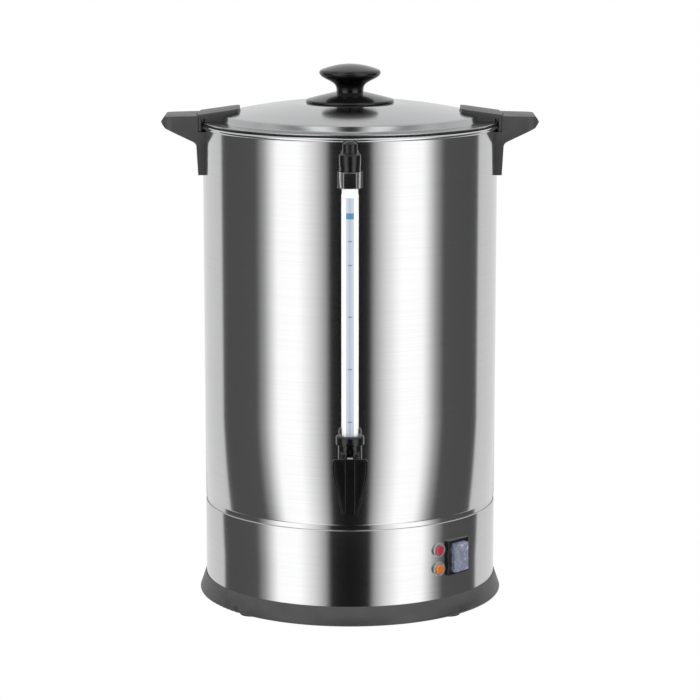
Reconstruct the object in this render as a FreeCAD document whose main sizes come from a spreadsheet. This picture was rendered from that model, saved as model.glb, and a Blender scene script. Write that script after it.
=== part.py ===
import FreeCAD, Part
import math
import operator
import os
from types import SimpleNamespace

import Sketcher

# A hot water urn for catering, in millimetres. The front faces -Y, the table is z = 0 and the
# axis of the vessel is the Z axis. Each piece is a body of its own, and its file has its name.

os.makedirs("parts", exist_ok=True)
doc = FreeCAD.newDocument("hot_water_urn")
sheet = doc.addObject("Spreadsheet::Sheet", "Sizes")
size = SimpleNamespace()
pieces = []

WORK = {"+": operator.add, "-": operator.sub, "*": operator.mul, "/": operator.truediv}


class Size:
    """A number together with the formula over the sheet that gives it."""

    def __init__(self, value, formula):
        self.value = value
        self.formula = formula

    def __add__(self, other):
        return combined(self, "+", other)

    def __radd__(self, other):
        return combined(other, "+", self)

    def __sub__(self, other):
        return combined(self, "-", other)

    def __rsub__(self, other):
        return combined(other, "-", self)

    def __mul__(self, other):
        return combined(self, "*", other)

    def __rmul__(self, other):
        return combined(other, "*", self)

    def __truediv__(self, other):
        return combined(self, "/", other)

    def __neg__(self):
        return combined(0, "-", self)


def as_size(thing):
    if isinstance(thing, Size):
        return thing
    return Size(float(thing), f"({float(thing)!r})")


def combined(first, sign, second):
    first = as_size(first)
    second = as_size(second)
    value = WORK[sign](first.value, second.value)
    return Size(value, f"({first.formula} {sign} {second.formula})")


def root(inside):
    return Size(math.sqrt(inside.value), f"sqrt({inside.formula})")


def sine(angle):
    angle = as_size(angle)
    return Size(math.sin(math.radians(angle.value)), f"sin({angle.formula})")


def cosine(angle):
    angle = as_size(angle)
    return Size(math.cos(math.radians(angle.value)), f"cos({angle.formula})")


def name_sizes():
    """Writes each number named above into the sheet once, and keeps it as size.NAME."""
    for name, value in list(globals().items()):
        if not isinstance(value, (int, float)) or hasattr(size, name):
            continue
        row = len(vars(size)) + 1
        sheet.set(f"A{row}", name)
        sheet.set(f"B{row}", str(value))
        sheet.setAlias(f"B{row}", name)
        setattr(size, name, Size(float(value), "Sizes." + name))


# Drawing helpers: a shape in a sketch is either a closed list of corners or a circle.
# A corner is (x, y), or (x, y, radius) if an arc leads on from it. The arc turns to the left
# if its radius is positive and to the right if it is negative.

def circle(x, y, radius):
    return ("circle", x, y, radius)


def box(low_x, low_y, high_x, high_y):
    return [(low_x, low_y), (high_x, low_y), (high_x, high_y), (low_x, high_y)]


def hexagon(x, y, across_flats):
    """A hexagon whose flats face up and down the sheet of the sketch."""
    far = as_size(across_flats) / math.sqrt(3)
    half = as_size(across_flats) / 2
    near = far / 2
    spots = [(far, 0), (near, half), (-near, half), (-far, 0), (-near, -half), (near, -half)]
    return [(x + across, y + up) for across, up in spots]


def crown_curve(half_width, rise):
    """The radius of a crown whose centre lies on the axis."""
    return (half_width * half_width + rise * rise) / (2 * rise)


def polar(radius, angle):
    return (radius * cosine(angle), radius * sine(angle))


def tie(drawing, shape, point, x, y):
    """Ties a point of the drawing to the origin by bound distances."""
    for kind, length, axis in (("DistanceX", as_size(x), -2), ("DistanceY", as_size(y), -1)):
        if abs(length.value) < 1e-9:
            drawing.addConstraint(Sketcher.Constraint("PointOnObject", shape, point, axis))
            continue
        rule = Sketcher.Constraint(kind, -1, 1, shape, point, length.value)
        index = drawing.addConstraint(rule)
        drawing.setExpression(f"Constraints[{index}]", length.formula)


def tie_radius(drawing, shape, radius):
    index = drawing.addConstraint(Sketcher.Constraint("Radius", shape, radius.value))
    drawing.setExpression(f"Constraints[{index}]", radius.formula)


def arc_between(start, end, radius):
    """The shorter arc from start to end, to the left for a positive radius."""
    if radius < 0:
        start, end = end, start
    chord = end - start
    height = math.sqrt(max(radius ** 2 - (chord.Length / 2) ** 2, 0))
    left = FreeCAD.Vector(-chord.y, chord.x, 0).normalize()
    centre = (start + end) / 2 + left * height
    first = math.atan2(start.y - centre.y, start.x - centre.x)
    last = math.atan2(end.y - centre.y, end.x - centre.x)
    if last < first:
        last += 2 * math.pi
    return Part.ArcOfCircle(Part.Circle(centre, FreeCAD.Vector(0, 0, 1), abs(radius)), first, last)


def draw_circle(drawing, x, y, radius):
    radius = as_size(radius)
    centre = FreeCAD.Vector(as_size(x).value, as_size(y).value, 0)
    shape = drawing.addGeometry(Part.Circle(centre, FreeCAD.Vector(0, 0, 1), radius.value))
    tie(drawing, shape, 3, x, y)
    tie_radius(drawing, shape, radius)


def draw_outline(drawing, corners):
    spots = [FreeCAD.Vector(as_size(c[0]).value, as_size(c[1]).value, 0) for c in corners]
    ends = []
    for number, corner in enumerate(corners):
        start = spots[number]
        end = spots[(number + 1) % len(spots)]
        if len(corner) == 3:
            radius = as_size(corner[2])
            shape = drawing.addGeometry(arc_between(start, end, radius.value))
            ends.append((shape, 1, 2) if radius.value > 0 else (shape, 2, 1))
        else:
            shape = drawing.addGeometry(Part.LineSegment(start, end))
            ends.append((shape, 1, 2))
    for number, (shape, first, _) in enumerate(ends):
        before, _, last = ends[number - 1]
        drawing.addConstraint(Sketcher.Constraint("Coincident", before, last, shape, first))
    for corner, (shape, first, _) in zip(corners, ends):
        tie(drawing, shape, first, corner[0], corner[1])
        if len(corner) == 3:
            radius = as_size(corner[2])
            tie_radius(drawing, shape, radius if radius.value > 0 else -radius)


def origin_part(body, role):
    return [part for part in body.Origin.OriginFeatures if part.Role == role][0]


def sketch(body, name, plane, shapes, height=0):
    drawing = body.newObject("Sketcher::SketchObject", name)
    drawing.AttachmentSupport = [(origin_part(body, plane + "_Plane"), "")]
    drawing.MapMode = "FlatFace"
    height = as_size(height)
    drawing.AttachmentOffset = FreeCAD.Placement(
        FreeCAD.Vector(0, 0, height.value), FreeCAD.Rotation())
    drawing.setExpression("AttachmentOffset.Base.z", height.formula)
    for shape in shapes:
        if shape[0] == "circle":
            draw_circle(drawing, *shape[1:])
        else:
            draw_outline(drawing, shape)
    return drawing


def bind(feature, field, length):
    length = as_size(length)
    setattr(feature, field, length.value)
    feature.setExpression(field, length.formula)


def extruded(body, name, plane, shapes, start, end, cut=False):
    """Adds or cuts the shapes from start to end along the axis that the plane faces.

    The XZ plane faces -Y, so there the heights along its normal are the other way round.
    """
    start = as_size(start)
    end = as_size(end)
    low, high = (-end, -start) if plane == "XZ" else (start, end)
    drawing = sketch(body, name + "_outline", plane, shapes, high if cut else low)
    feature = body.newObject("PartDesign::Pocket" if cut else "PartDesign::Pad", name)
    feature.Profile = drawing
    bind(feature, "Length", high - low)
    return feature


def turned(body, name, shapes, cut=False, angle=360):
    """Adds or cuts the shapes, given as radius and height, turned about the Z axis."""
    drawing = sketch(body, name + "_outline", "XZ", shapes)
    feature = body.newObject("PartDesign::Groove" if cut else "PartDesign::Revolution", name)
    feature.Profile = drawing
    feature.ReferenceAxis = (drawing, ["V_Axis"])
    bind(feature, "Angle", angle)
    return feature


def repeated(body, name, features, count):
    """Repeats features evenly about the Z axis."""
    pattern = body.newObject("PartDesign::PolarPattern", name)
    pattern.Originals = features
    pattern.Axis = (origin_part(body, "Z_Axis"), [""])
    bind(pattern, "Angle", 360)
    pattern.Occurrences = count
    body.Tip = pattern
    return pattern


def cut_at_azimuth(body, name, shapes, azimuth):
    """Cuts outwards through the wall, at an angle from the front about the Z axis."""
    drawing = sketch(body, name + "_outline", "XZ", shapes)
    turn = FreeCAD.Rotation(FreeCAD.Vector(0, 1, 0), azimuth.value)
    drawing.AttachmentOffset = FreeCAD.Placement(FreeCAD.Vector(), turn)
    drawing.setExpression("AttachmentOffset.Rotation.Angle", azimuth.formula)
    feature = body.newObject("PartDesign::Pocket", name)
    feature.Profile = drawing
    feature.Reversed = True
    bind(feature, "Length", size.body_radius * 1.1)
    return feature


def rounded(body, name, radius, wanted):
    """Rounds the edges of the body for which wanted(edge) is true."""
    doc.recompute()
    base = body.Tip
    edges = [f"Edge{n}" for n, edge in enumerate(base.Shape.Edges, 1) if wanted(edge)]
    feature = body.newObject("PartDesign::Fillet", name)
    feature.Base = (base, edges)
    bind(feature, "Radius", radius)
    return feature


def along(edge, direction):
    """Whether a straight edge runs along a direction."""
    if edge.Curve.TypeId != "Part::GeomLine":
        return False
    ends = [vertex.Point for vertex in edge.Vertexes]
    run = (ends[1] - ends[0]).normalize()
    return abs(abs(run.dot(FreeCAD.Vector(*direction))) - 1) < 1e-6


def middle(edge):
    return edge.CenterOfMass


def new_piece(name, forward=None, azimuth=None):
    """A body, shifted forward to a vertical axis of its own or turned about the Z axis."""
    body = doc.addObject("PartDesign::Body", name)
    body.Label = name
    body.AllowCompound = True
    if forward is not None:
        body.Placement.Base = FreeCAD.Vector(0, -forward.value, 0)
        body.setExpression("Placement.Base.y", (-forward).formula)
    if azimuth is not None:
        turn = FreeCAD.Rotation(FreeCAD.Vector(0, 0, 1), azimuth.value)
        body.Placement = FreeCAD.Placement(FreeCAD.Vector(), turn)
        body.setExpression("Placement.Rotation.Angle", azimuth.formula)
    pieces.append(body)
    return body


def mirrored_piece(name, source):
    """The same piece for the other side of the vessel."""
    twin = doc.addObject("Part::Mirroring", name)
    twin.Label = name
    twin.Source = source
    twin.Normal = FreeCAD.Vector(1, 0, 0)
    pieces.append(twin)


def cut_ring(body, name, inner, outer, low, high):
    """Removes everything between two radii and two heights."""
    turned(body, name, [box(inner, low, outer, high)], cut=True)


# Sizes of the vessel
body_radius = 135
sheet_wall = 1
fit_gap = 0.1
run_gap = 0.3
skirt_bottom = 12
skirt_top = 89.5
skirt_flange_radius = 118
groove_top = 94.5
spigot_bottom = 80
floor_bottom = 98
floor_wall = 1.2
bead_radius = 2.1
bead_centre = 134.7
bead_height = 438.9
clear_of_wall = 30
name_sizes()
wall_outer = size.body_radius
wall_inner = size.body_radius - size.sheet_wall
floor_top = size.floor_bottom + size.floor_wall

# Sizes of the openings through the wall
tee_height = 140
tee_thread_radius = 8
top_port_height = 422
top_thread_radius = 5
handle_screw_height = 430
handle_screw_spread = 12
handle_screw_radius = 2
switch_azimuth = 45.7
switch_height = 56
switch_width = 22
switch_tall = 30
lamp_azimuth = 36.3
heating_lamp_height = 65
warm_lamp_height = 47.5
lamp_barrel_radius = 5.4
gland_height = 45
gland_radius = 8
screw_radius = 1.5
screw_head_radius = 3
screw_head_height = 1.8
skirt_screw_ring = 124
skirt_screw_angle = 22.5
name_sizes()
lamp_heights = (size.heating_lamp_height, size.warm_lamp_height)
handle_screw_spots = [
    (side * size.handle_screw_spread, size.handle_screw_height) for side in (1, -1)]


def make_tank():
    """The tank wall: spigot that slides into the skirt, ledge for the floor, and rolled rim."""
    body = new_piece("tank")
    spigot = wall_inner - size.fit_gap
    turned(body, "tank_wall", [[
        (spigot - size.sheet_wall, size.floor_bottom),
        (spigot - size.sheet_wall, size.spigot_bottom),
        (spigot, size.spigot_bottom),
        (spigot, size.groove_top - size.sheet_wall / 2),
        (wall_outer, size.groove_top),
        (wall_outer, size.bead_height),
        (wall_inner, size.bead_height),
        (wall_inner, size.floor_bottom),
    ]])
    turned(body, "tank_bead", [circle(size.bead_centre, size.bead_height, size.bead_radius)])
    front = -(wall_outer + size.sheet_wall)
    behind = -(wall_inner - size.sheet_wall * 9)
    tee_hole = circle(0, size.tee_height, size.tee_thread_radius)
    top_hole = circle(0, size.top_port_height, size.top_thread_radius)
    extruded(body, "tank_ports", "XZ", [tee_hole, top_hole], front, behind, cut=True)
    holes = [circle(*spot, size.handle_screw_radius) for spot in handle_screw_spots]
    far = wall_outer + size.sheet_wall
    extruded(body, "tank_screw_holes", "YZ", holes, -far, far, cut=True)


def make_tank_floor():
    """The flat floor, a disc welded to the wall where it rests on the ledge."""
    body = new_piece("tank_floor")
    extruded(body, "floor_disc", "XY", [circle(0, 0, wall_inner)], size.floor_bottom, floor_top)


def make_skirt():
    """The separate band below the groove, with a flange to stand on and a rounded top edge."""
    body = new_piece("skirt")
    half = size.sheet_wall / 2
    flange_top = size.skirt_bottom + size.sheet_wall
    turned(body, "skirt_wall", [[
        (size.skirt_flange_radius, size.skirt_bottom),
        (wall_outer, size.skirt_bottom),
        (wall_outer, size.skirt_top - half, half),
        (wall_outer - half, size.skirt_top, half),
        (wall_inner, size.skirt_top - half),
        (wall_inner, flange_top),
        (size.skirt_flange_radius, flange_top),
    ]])
    half_wide = size.switch_width / 2
    half_tall = size.switch_tall / 2
    opening = box(-half_wide, size.switch_height - half_tall,
                  half_wide, size.switch_height + half_tall)
    cut_at_azimuth(body, "skirt_switch_hole", [opening], size.switch_azimuth)
    lamp_holes = [circle(0, height, size.lamp_barrel_radius) for height in lamp_heights]
    cut_at_azimuth(body, "skirt_lamp_holes", lamp_holes, size.lamp_azimuth)
    gland_hole = circle(0, size.gland_height, size.gland_radius)
    extruded(body, "skirt_gland_hole", "XZ", [gland_hole], wall_inner - 9, wall_outer + 1, cut=True)
    spot = polar(size.skirt_screw_ring, size.skirt_screw_angle)
    hole = extruded(body, "skirt_screw_hole", "XY", [circle(*spot, size.screw_radius)],
                    size.skirt_bottom, flange_top, cut=True)
    repeated(body, "skirt_screw_holes", [hole], 4)


# Sizes of the base
ring_lip_height = 19
ring_lip_wall = 0.9
ring_wide_radius = 141
ring_wide_height = 4.5
ring_edge_radius = 2.5
ring_bottom = 2
ring_wall = 2.5
ring_channel_top = 9.5
ring_inner_radius = 110
cover_lip_radius = 100
cover_wall = 0.8
rib_wall = 2
rib_bottom = 3
cover_screw_ring = 105
cover_boss_radius = 4
cover_boss_top = 18
base_screw_length = 6.5
foot_ring = 126.5
foot_angle = 45
foot_radius = 11
foot_stem_radius = 4
foot_stem_top = 8
cover_edge_gap = 0.4
vent_start = 45
vent_end = 80
vent_width = 5
name_sizes()
cover_top = size.ring_channel_top + size.cover_wall
base_screw_top = size.ring_channel_top + size.base_screw_length
channel_outer = size.ring_wide_radius - size.ring_edge_radius - size.ring_wall


def make_base_ring():
    """The moulded ring under the skirt: a channel open below, with ribs and bosses."""
    body = new_piece("base_ring")
    lip = wall_outer + size.fit_gap
    turned(body, "ring_section", [[
        (size.cover_lip_radius, cover_top),
        (size.ring_inner_radius, cover_top),
        (size.ring_inner_radius, size.ring_bottom),
        (size.ring_inner_radius + size.ring_wall, size.ring_bottom),
        (size.ring_inner_radius + size.ring_wall, size.ring_channel_top),
        (channel_outer, size.ring_channel_top),
        (channel_outer, size.ring_bottom),
        (size.ring_wide_radius - size.ring_edge_radius, size.ring_bottom, size.ring_edge_radius),
        (size.ring_wide_radius, size.ring_wide_height),
        (lip + size.ring_lip_wall, size.ring_lip_height),
        (lip, size.ring_lip_height),
        (lip, size.skirt_bottom),
        (size.cover_lip_radius, size.skirt_bottom),
    ]])
    half = size.rib_wall / 2
    rib_outline = box(size.ring_inner_radius + half, -half, channel_outer + half, half)
    rib = extruded(body, "ring_rib", "XY", [rib_outline], size.rib_bottom, size.skirt_bottom - 1)
    repeated(body, "ring_ribs", [rib], 12)
    spot = polar(size.foot_ring, size.foot_angle)
    boss = extruded(body, "ring_foot_boss", "XY", [circle(*spot, size.foot_radius)],
                    size.ring_bottom, size.skirt_bottom - 1)
    hole = extruded(body, "ring_foot_hole", "XY", [circle(*spot, size.foot_stem_radius)],
                    size.ring_bottom, size.foot_stem_top, cut=True)
    repeated(body, "ring_foot_bosses", [boss, hole], 4)
    cover_spot = (size.cover_screw_ring, 0)
    boss = extruded(body, "ring_cover_boss", "XY", [circle(*cover_spot, size.cover_boss_radius)],
                    size.skirt_bottom - 1, size.cover_boss_top)
    hole = extruded(body, "ring_cover_hole", "XY", [circle(*cover_spot, size.screw_radius)],
                    size.ring_bottom, base_screw_top, cut=True)
    repeated(body, "ring_cover_bosses", [boss, hole], 4)
    spot = polar(size.skirt_screw_ring, size.skirt_screw_angle)
    hole = extruded(body, "ring_skirt_hole", "XY", [circle(*spot, size.screw_radius)],
                    size.ring_bottom, size.skirt_bottom, cut=True)
    repeated(body, "ring_skirt_holes", [hole], 4)


def make_bottom_cover():
    """The pressed plate that closes the base, with radial vents."""
    body = new_piece("bottom_cover")
    radius = size.ring_inner_radius - size.cover_edge_gap
    extruded(body, "cover_plate", "XY", [circle(0, 0, radius)], size.ring_channel_top, cover_top)
    half = size.vent_width / 2
    slot = [
        (size.vent_start, -half),
        (size.vent_end, -half, half * 1.001),
        (size.vent_end + half, 0, half * 1.001),
        (size.vent_end, half),
        (size.vent_start, half, half * 1.001),
        (size.vent_start - half, 0, half * 1.001),
    ]
    vent = extruded(body, "cover_vent", "XY", [slot], size.ring_channel_top, cover_top, cut=True)
    repeated(body, "cover_vents", [vent], 12)
    hole = extruded(body, "cover_screw_hole", "XY",
                    [circle(size.cover_screw_ring, 0, size.screw_radius)],
                    size.ring_channel_top, cover_top, cut=True)
    repeated(body, "cover_screw_holes", [hole], 4)


def make_base_screws():
    """Four screws for the cover and four that hold the skirt to the ring."""
    body = new_piece("base_screws")
    seat = size.ring_channel_top
    skirt_spot = polar(size.skirt_screw_ring, size.skirt_screw_angle)
    spots = {"cover": (size.cover_screw_ring, 0), "skirt": skirt_spot}
    for name, spot in spots.items():
        head = extruded(body, name + "_screw_head", "XY", [circle(*spot, size.screw_head_radius)],
                        seat - size.screw_head_height, seat)
        shank = extruded(body, name + "_screw_shank", "XY", [circle(*spot, size.screw_radius)],
                         seat, base_screw_top)
        repeated(body, name + "_screws", [head, shank], 4)


def make_rubber_feet():
    body = new_piece("rubber_feet")
    spot = polar(size.foot_ring, size.foot_angle)
    pad = extruded(body, "foot_pad", "XY", [circle(*spot, size.foot_radius)], 0, size.ring_bottom)
    stem = extruded(body, "foot_stem", "XY", [circle(*spot, size.foot_stem_radius)],
                    size.ring_bottom, size.foot_stem_top)
    repeated(body, "foot_set", [pad, stem], 4)


# Sizes of the heater and the wiring
plate_radius = 95
plate_wall = 4
boil_ring = 78
boil_tube_radius = 4
warm_ring = 45
warm_tube_radius = 3
element_sweep = 330
element_leg_bottom = 72
element_leg_inset = 6
element_leg_share = 0.8
thermostat_ring = 61
thermostat_radius = 8
thermostat_flange_radius = 10
thermostat_flange_wall = 1.5
thermostat_tall = 12
tab_wide = 6.3
tab_wall = 0.8
tab_long = 7
tab_spacing = 8
block_half_length = 20
block_near = 119
block_far = 130
block_tall = 12
block_hole_radius = 2.2
block_hole_depth = 6
block_pitch = 11
lead_radius = 1.2
gland_bore = 4.75
gland_head_flats = 22
gland_head_length = 9
gland_length = 26
gland_nut_wall = 4
name_sizes()
plate_bottom = size.floor_bottom - size.plate_wall


def make_heater_plate():
    body = new_piece("heater_plate")
    extruded(body, "plate_disc", "XY", [circle(0, 0, size.plate_radius)],
             plate_bottom, size.floor_bottom)


def make_element(name, ring, tube):
    """A ring of sheathed element brazed under the plate, with its ends turned down."""
    body = new_piece(name)
    height = plate_bottom - tube
    turned(body, name + "_ring", [circle(ring, height, tube)], angle=size.element_sweep)
    leg_radius = tube * size.element_leg_share
    start = circle(*polar(ring, size.element_leg_inset), leg_radius)
    end = circle(*polar(ring, size.element_sweep - size.element_leg_inset), leg_radius)
    extruded(body, name + "_legs", "XY", [start, end], size.element_leg_bottom, height)
    return body


def make_thermostat(name, azimuth):
    """A snap-disc can with a flange against the plate and two spade tabs."""
    body = new_piece(name)
    x, y = polar(size.thermostat_ring, azimuth)
    bottom = plate_bottom - size.thermostat_tall
    flange_bottom = plate_bottom - size.thermostat_flange_wall
    extruded(body, name + "_can", "XY", [circle(x, y, size.thermostat_radius)],
             bottom, plate_bottom)
    extruded(body, name + "_flange", "XY", [circle(x, y, size.thermostat_flange_radius)],
             flange_bottom, plate_bottom)
    for side in (1, -1):
        centre = y + side * size.tab_spacing / 2
        tab = box(x - size.tab_wide / 2, centre - size.tab_wall / 2,
                  x + size.tab_wide / 2, centre + size.tab_wall / 2)
        extruded(body, f"{name}_tab_{(side + 3) // 2}", "XY", [tab],
                 bottom - size.tab_long, bottom)


def make_terminal_block():
    body = new_piece("terminal_block")
    bottom = size.skirt_bottom + size.sheet_wall
    top = bottom + size.block_tall
    outline = box(-size.block_half_length, size.block_near, size.block_half_length, size.block_far)
    extruded(body, "block_case", "XY", [outline], bottom, top)
    middle_row = (size.block_near + size.block_far) / 2
    holes = [circle(step * size.block_pitch, middle_row, size.block_hole_radius)
             for step in (-1, 0, 1)]
    extruded(body, "block_holes", "XY", holes, top - size.block_hole_depth, top, cut=True)


def make_cord_gland():
    """The nylon inlet at the back, with a hexagon head that lies on the skirt."""
    body = new_piece("cord_gland")
    outer_end = wall_outer + size.gland_head_length
    head = hexagon(0, size.gland_height, size.gland_head_flats)
    extruded(body, "gland_head", "XZ", [head], wall_inner - 5, outer_end)
    low = size.gland_height - size.clear_of_wall
    high = size.gland_height + size.clear_of_wall
    cut_ring(body, "gland_seat", 0, wall_outer, low, high)
    barrel = circle(0, size.gland_height, size.gland_radius)
    extruded(body, "gland_barrel", "XZ", [barrel], outer_end - size.gland_length, outer_end - 1)
    bore = circle(0, size.gland_height, size.gland_bore)
    extruded(body, "gland_way", "XZ", [bore], outer_end - size.gland_length, outer_end, cut=True)

    nut = new_piece("gland_locknut")
    extruded(nut, "gland_nut_body", "XZ", [hexagon(0, size.gland_height, size.gland_head_flats)],
             wall_inner - size.gland_nut_wall, wall_outer)
    cut_ring(nut, "gland_nut_seat", wall_inner, wall_outer * 1.1, low, high)
    extruded(nut, "gland_nut_hole", "XZ", [circle(0, size.gland_height, size.gland_radius)],
             wall_inner - size.gland_nut_wall, wall_outer, cut=True)


# Sizes of the switch and the lamps
switch_bezel_wide = 27
switch_bezel_tall = 32
switch_bezel_front = 137.6
switch_body_gap = 0.25
switch_back = 112
switch_well_wide = 17
switch_well_tall = 25
switch_well_back = 122
rocker_pivot = 133
rocker_pin_radius = 1.5
rocker_pin_gap = 0.05
rocker_pin_reach = 9.5
rocker_half_wide = 8.2
rocker_half_tall = 11.6
rocker_end_rise = 6
rocker_middle_rise = 5
rocker_back_depth = 6
rocker_back_half = 6
rocker_tilt = 7
cover_half_wide = 9.2
cover_half_tall = 13.2
cover_tall = 4
cover_film = 0.6
cover_corner = 2
lamp_bezel_radius = 6.75
lamp_bezel_front = 136.8
lamp_bore = 4.95
lamp_back = 118
lamp_lens_front = 138
lamp_lens_edge = 1.8
lamp_nut_flats = 14
lamp_nut_wall = 3.5
name_sizes()


def make_switch_housing():
    body = new_piece("switch_housing", azimuth=size.switch_azimuth)
    half = size.switch_bezel_tall / 2
    bezel = box(-size.switch_bezel_wide / 2, size.switch_height - half,
                size.switch_bezel_wide / 2, size.switch_height + half)
    extruded(body, "switch_bezel", "XZ", [bezel], -size.switch_bezel_front, -wall_inner + 4)
    low = size.switch_height - size.clear_of_wall
    high = size.switch_height + size.clear_of_wall
    cut_ring(body, "switch_seat", 0, wall_outer, low, high)
    half_wide = size.switch_width / 2 - size.switch_body_gap
    half_tall = size.switch_tall / 2 - size.switch_body_gap
    case = box(-half_wide, size.switch_height - half_tall, half_wide, size.switch_height + half_tall)
    extruded(body, "switch_case", "XZ", [case], -(wall_outer + 1), -size.switch_back)
    well_tall = size.switch_well_tall / 2
    well = box(-size.switch_well_wide / 2, size.switch_height - well_tall,
               size.switch_well_wide / 2, size.switch_height + well_tall)
    extruded(body, "switch_well", "XZ", [well], -size.switch_bezel_front, -size.switch_well_back,
             cut=True)
    pin_hole = circle(-size.rocker_pivot, size.switch_height,
                      size.rocker_pin_radius + size.rocker_pin_gap)
    reach = size.rocker_pin_reach + size.run_gap
    extruded(body, "switch_pin_holes", "YZ", [pin_hole], -reach, reach, cut=True)


def make_switch_terminals():
    """Four spade tabs at the back of the switch."""
    body = new_piece("switch_terminals", azimuth=size.switch_azimuth)
    tabs = []
    for across in (-1, 1):
        for up in (-1, 1):
            x = across * size.tab_spacing / 2
            z = size.switch_height + up * size.tab_spacing
            tabs.append(box(x - size.tab_wall / 2, z - size.tab_wide / 2,
                            x + size.tab_wall / 2, z + size.tab_wide / 2))
    extruded(body, "terminal_tabs", "XZ", tabs, -size.switch_back,
             -(size.switch_back - size.tab_long))


def tilted(out, up):
    """A corner of the rocker, tilted about its pins, as depth and height in the sketch."""
    turn_out = out * cosine(size.rocker_tilt) - up * sine(size.rocker_tilt)
    turn_up = up * cosine(size.rocker_tilt) + out * sine(size.rocker_tilt)
    return (-(size.rocker_pivot + turn_out), size.switch_height + turn_up)


def make_switch_rocker():
    body = new_piece("switch_rocker", azimuth=size.switch_azimuth)
    corners = [
        tilted(size.rocker_end_rise, size.rocker_half_tall),
        tilted(size.rocker_middle_rise, as_size(0)),
        tilted(size.rocker_end_rise, -size.rocker_half_tall),
        tilted(as_size(0), -size.rocker_half_tall),
        tilted(-size.rocker_back_depth, -size.rocker_back_half),
        tilted(-size.rocker_back_depth, size.rocker_back_half),
        tilted(as_size(0), size.rocker_half_tall),
    ]
    extruded(body, "rocker_key", "YZ", [corners], -size.rocker_half_wide, size.rocker_half_wide)
    pin = circle(-size.rocker_pivot, size.switch_height, size.rocker_pin_radius)
    extruded(body, "rocker_pins", "YZ", [pin], -size.rocker_pin_reach, size.rocker_pin_reach)


def make_splash_cover():
    """A clear soft hood over the rocker, through which it is pressed."""
    body = new_piece("switch_splash_cover", azimuth=size.switch_azimuth)
    foot = -size.switch_bezel_front
    front = foot - size.cover_tall
    centre = size.switch_height
    outside = box(-size.cover_half_wide, centre - size.cover_half_tall,
                  size.cover_half_wide, centre + size.cover_half_tall)
    extruded(body, "hood_outside", "XZ", [outside], front, foot)
    rounded(body, "hood_corners", size.cover_corner, lambda edge: along(edge, (0, 1, 0)))
    half_wide = size.cover_half_wide - size.cover_film
    half_tall = size.cover_half_tall - size.cover_film
    inside = box(-half_wide, centre - half_tall, half_wide, centre + half_tall)
    extruded(body, "hood_inside", "XZ", [inside], front + size.cover_film, foot, cut=True)


def make_lamps():
    bezels = new_piece("lamp_bezels", azimuth=size.lamp_azimuth)
    collars = [circle(0, height, size.lamp_bezel_radius) for height in lamp_heights]
    barrels = [circle(0, height, size.lamp_barrel_radius) for height in lamp_heights]
    bores = [circle(0, height, size.lamp_bore) for height in lamp_heights]
    extruded(bezels, "lamp_collars", "XZ", collars, -size.lamp_bezel_front, -wall_inner + 4)
    low = size.warm_lamp_height - size.clear_of_wall
    high = size.heating_lamp_height + size.clear_of_wall
    cut_ring(bezels, "lamp_seat", 0, wall_outer, low, high)
    extruded(bezels, "lamp_barrels", "XZ", barrels, -(wall_outer + 1), -size.lamp_back)
    extruded(bezels, "lamp_bores", "XZ", bores, -size.lamp_bezel_front, -size.lamp_back, cut=True)

    nuts = new_piece("lamp_nuts", azimuth=size.lamp_azimuth)
    hexagons = [hexagon(0, height, size.lamp_nut_flats) for height in lamp_heights]
    nut_back = -(wall_inner - size.lamp_nut_wall)
    extruded(nuts, "lamp_nut_bodies", "XZ", hexagons, -wall_outer, nut_back)
    cut_ring(nuts, "lamp_nut_seat", wall_inner, wall_outer * 1.1, low, high)
    extruded(nuts, "lamp_nut_holes", "XZ", barrels, -wall_outer, nut_back, cut=True)

    lens_heights = {"heating_lamp_lens": size.heating_lamp_height,
                    "keep_warm_lamp_lens": size.warm_lamp_height}
    for name, height in lens_heights.items():
        lens = new_piece(name, azimuth=size.lamp_azimuth)
        extruded(lens, name + "_rod", "XZ", [circle(0, height, size.lamp_bore)],
                 -size.lamp_lens_front, -(size.lamp_back + 1))
        rounded(lens, name + "_dome", size.lamp_lens_edge,
                lambda edge: middle(edge).y < -size.lamp_lens_front.value + 1e-3)


# Sizes of the handles
handle_half_width = 25
handle_foot_height = 395
handle_foot_reach = 138.3
handle_leg_reach = 139.9
handle_leg_height = 424
handle_under_reach = 168.3
handle_under_height = 437.6
handle_nose_reach = 172.6
handle_nose_height = 443
handle_top_reach = 169
handle_top_height = 448.2
handle_back_height = 449.3
handle_leg_fillet = 5
handle_nose_radius = 12
handle_nose_round = 2
pocket_radius = 140.3
pocket_floor = 434.3
cell_start = 145.5
cell_end = 164.5
cell_top = 445.3
cell_wall = 3.5
insert_radius = 3.2
insert_end = 142.6
seal_radius = 3.8
seal_inner = 131.3
handle_head_radius = 3.5
handle_head_wall = 2
name_sizes()


def nose_corner(side):
    """The part of the plan outside one rounded corner of the nose."""
    reach = size.handle_nose_reach
    radius = size.handle_nose_radius
    half = size.handle_half_width
    arc = radius if side > 0 else -radius
    return [
        (reach, side * (half - radius), arc),
        (reach - radius, side * half),
        (reach - radius, side * (half + radius)),
        (reach + radius, side * (half + radius)),
        (reach + radius, side * (half - radius)),
    ]


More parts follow.
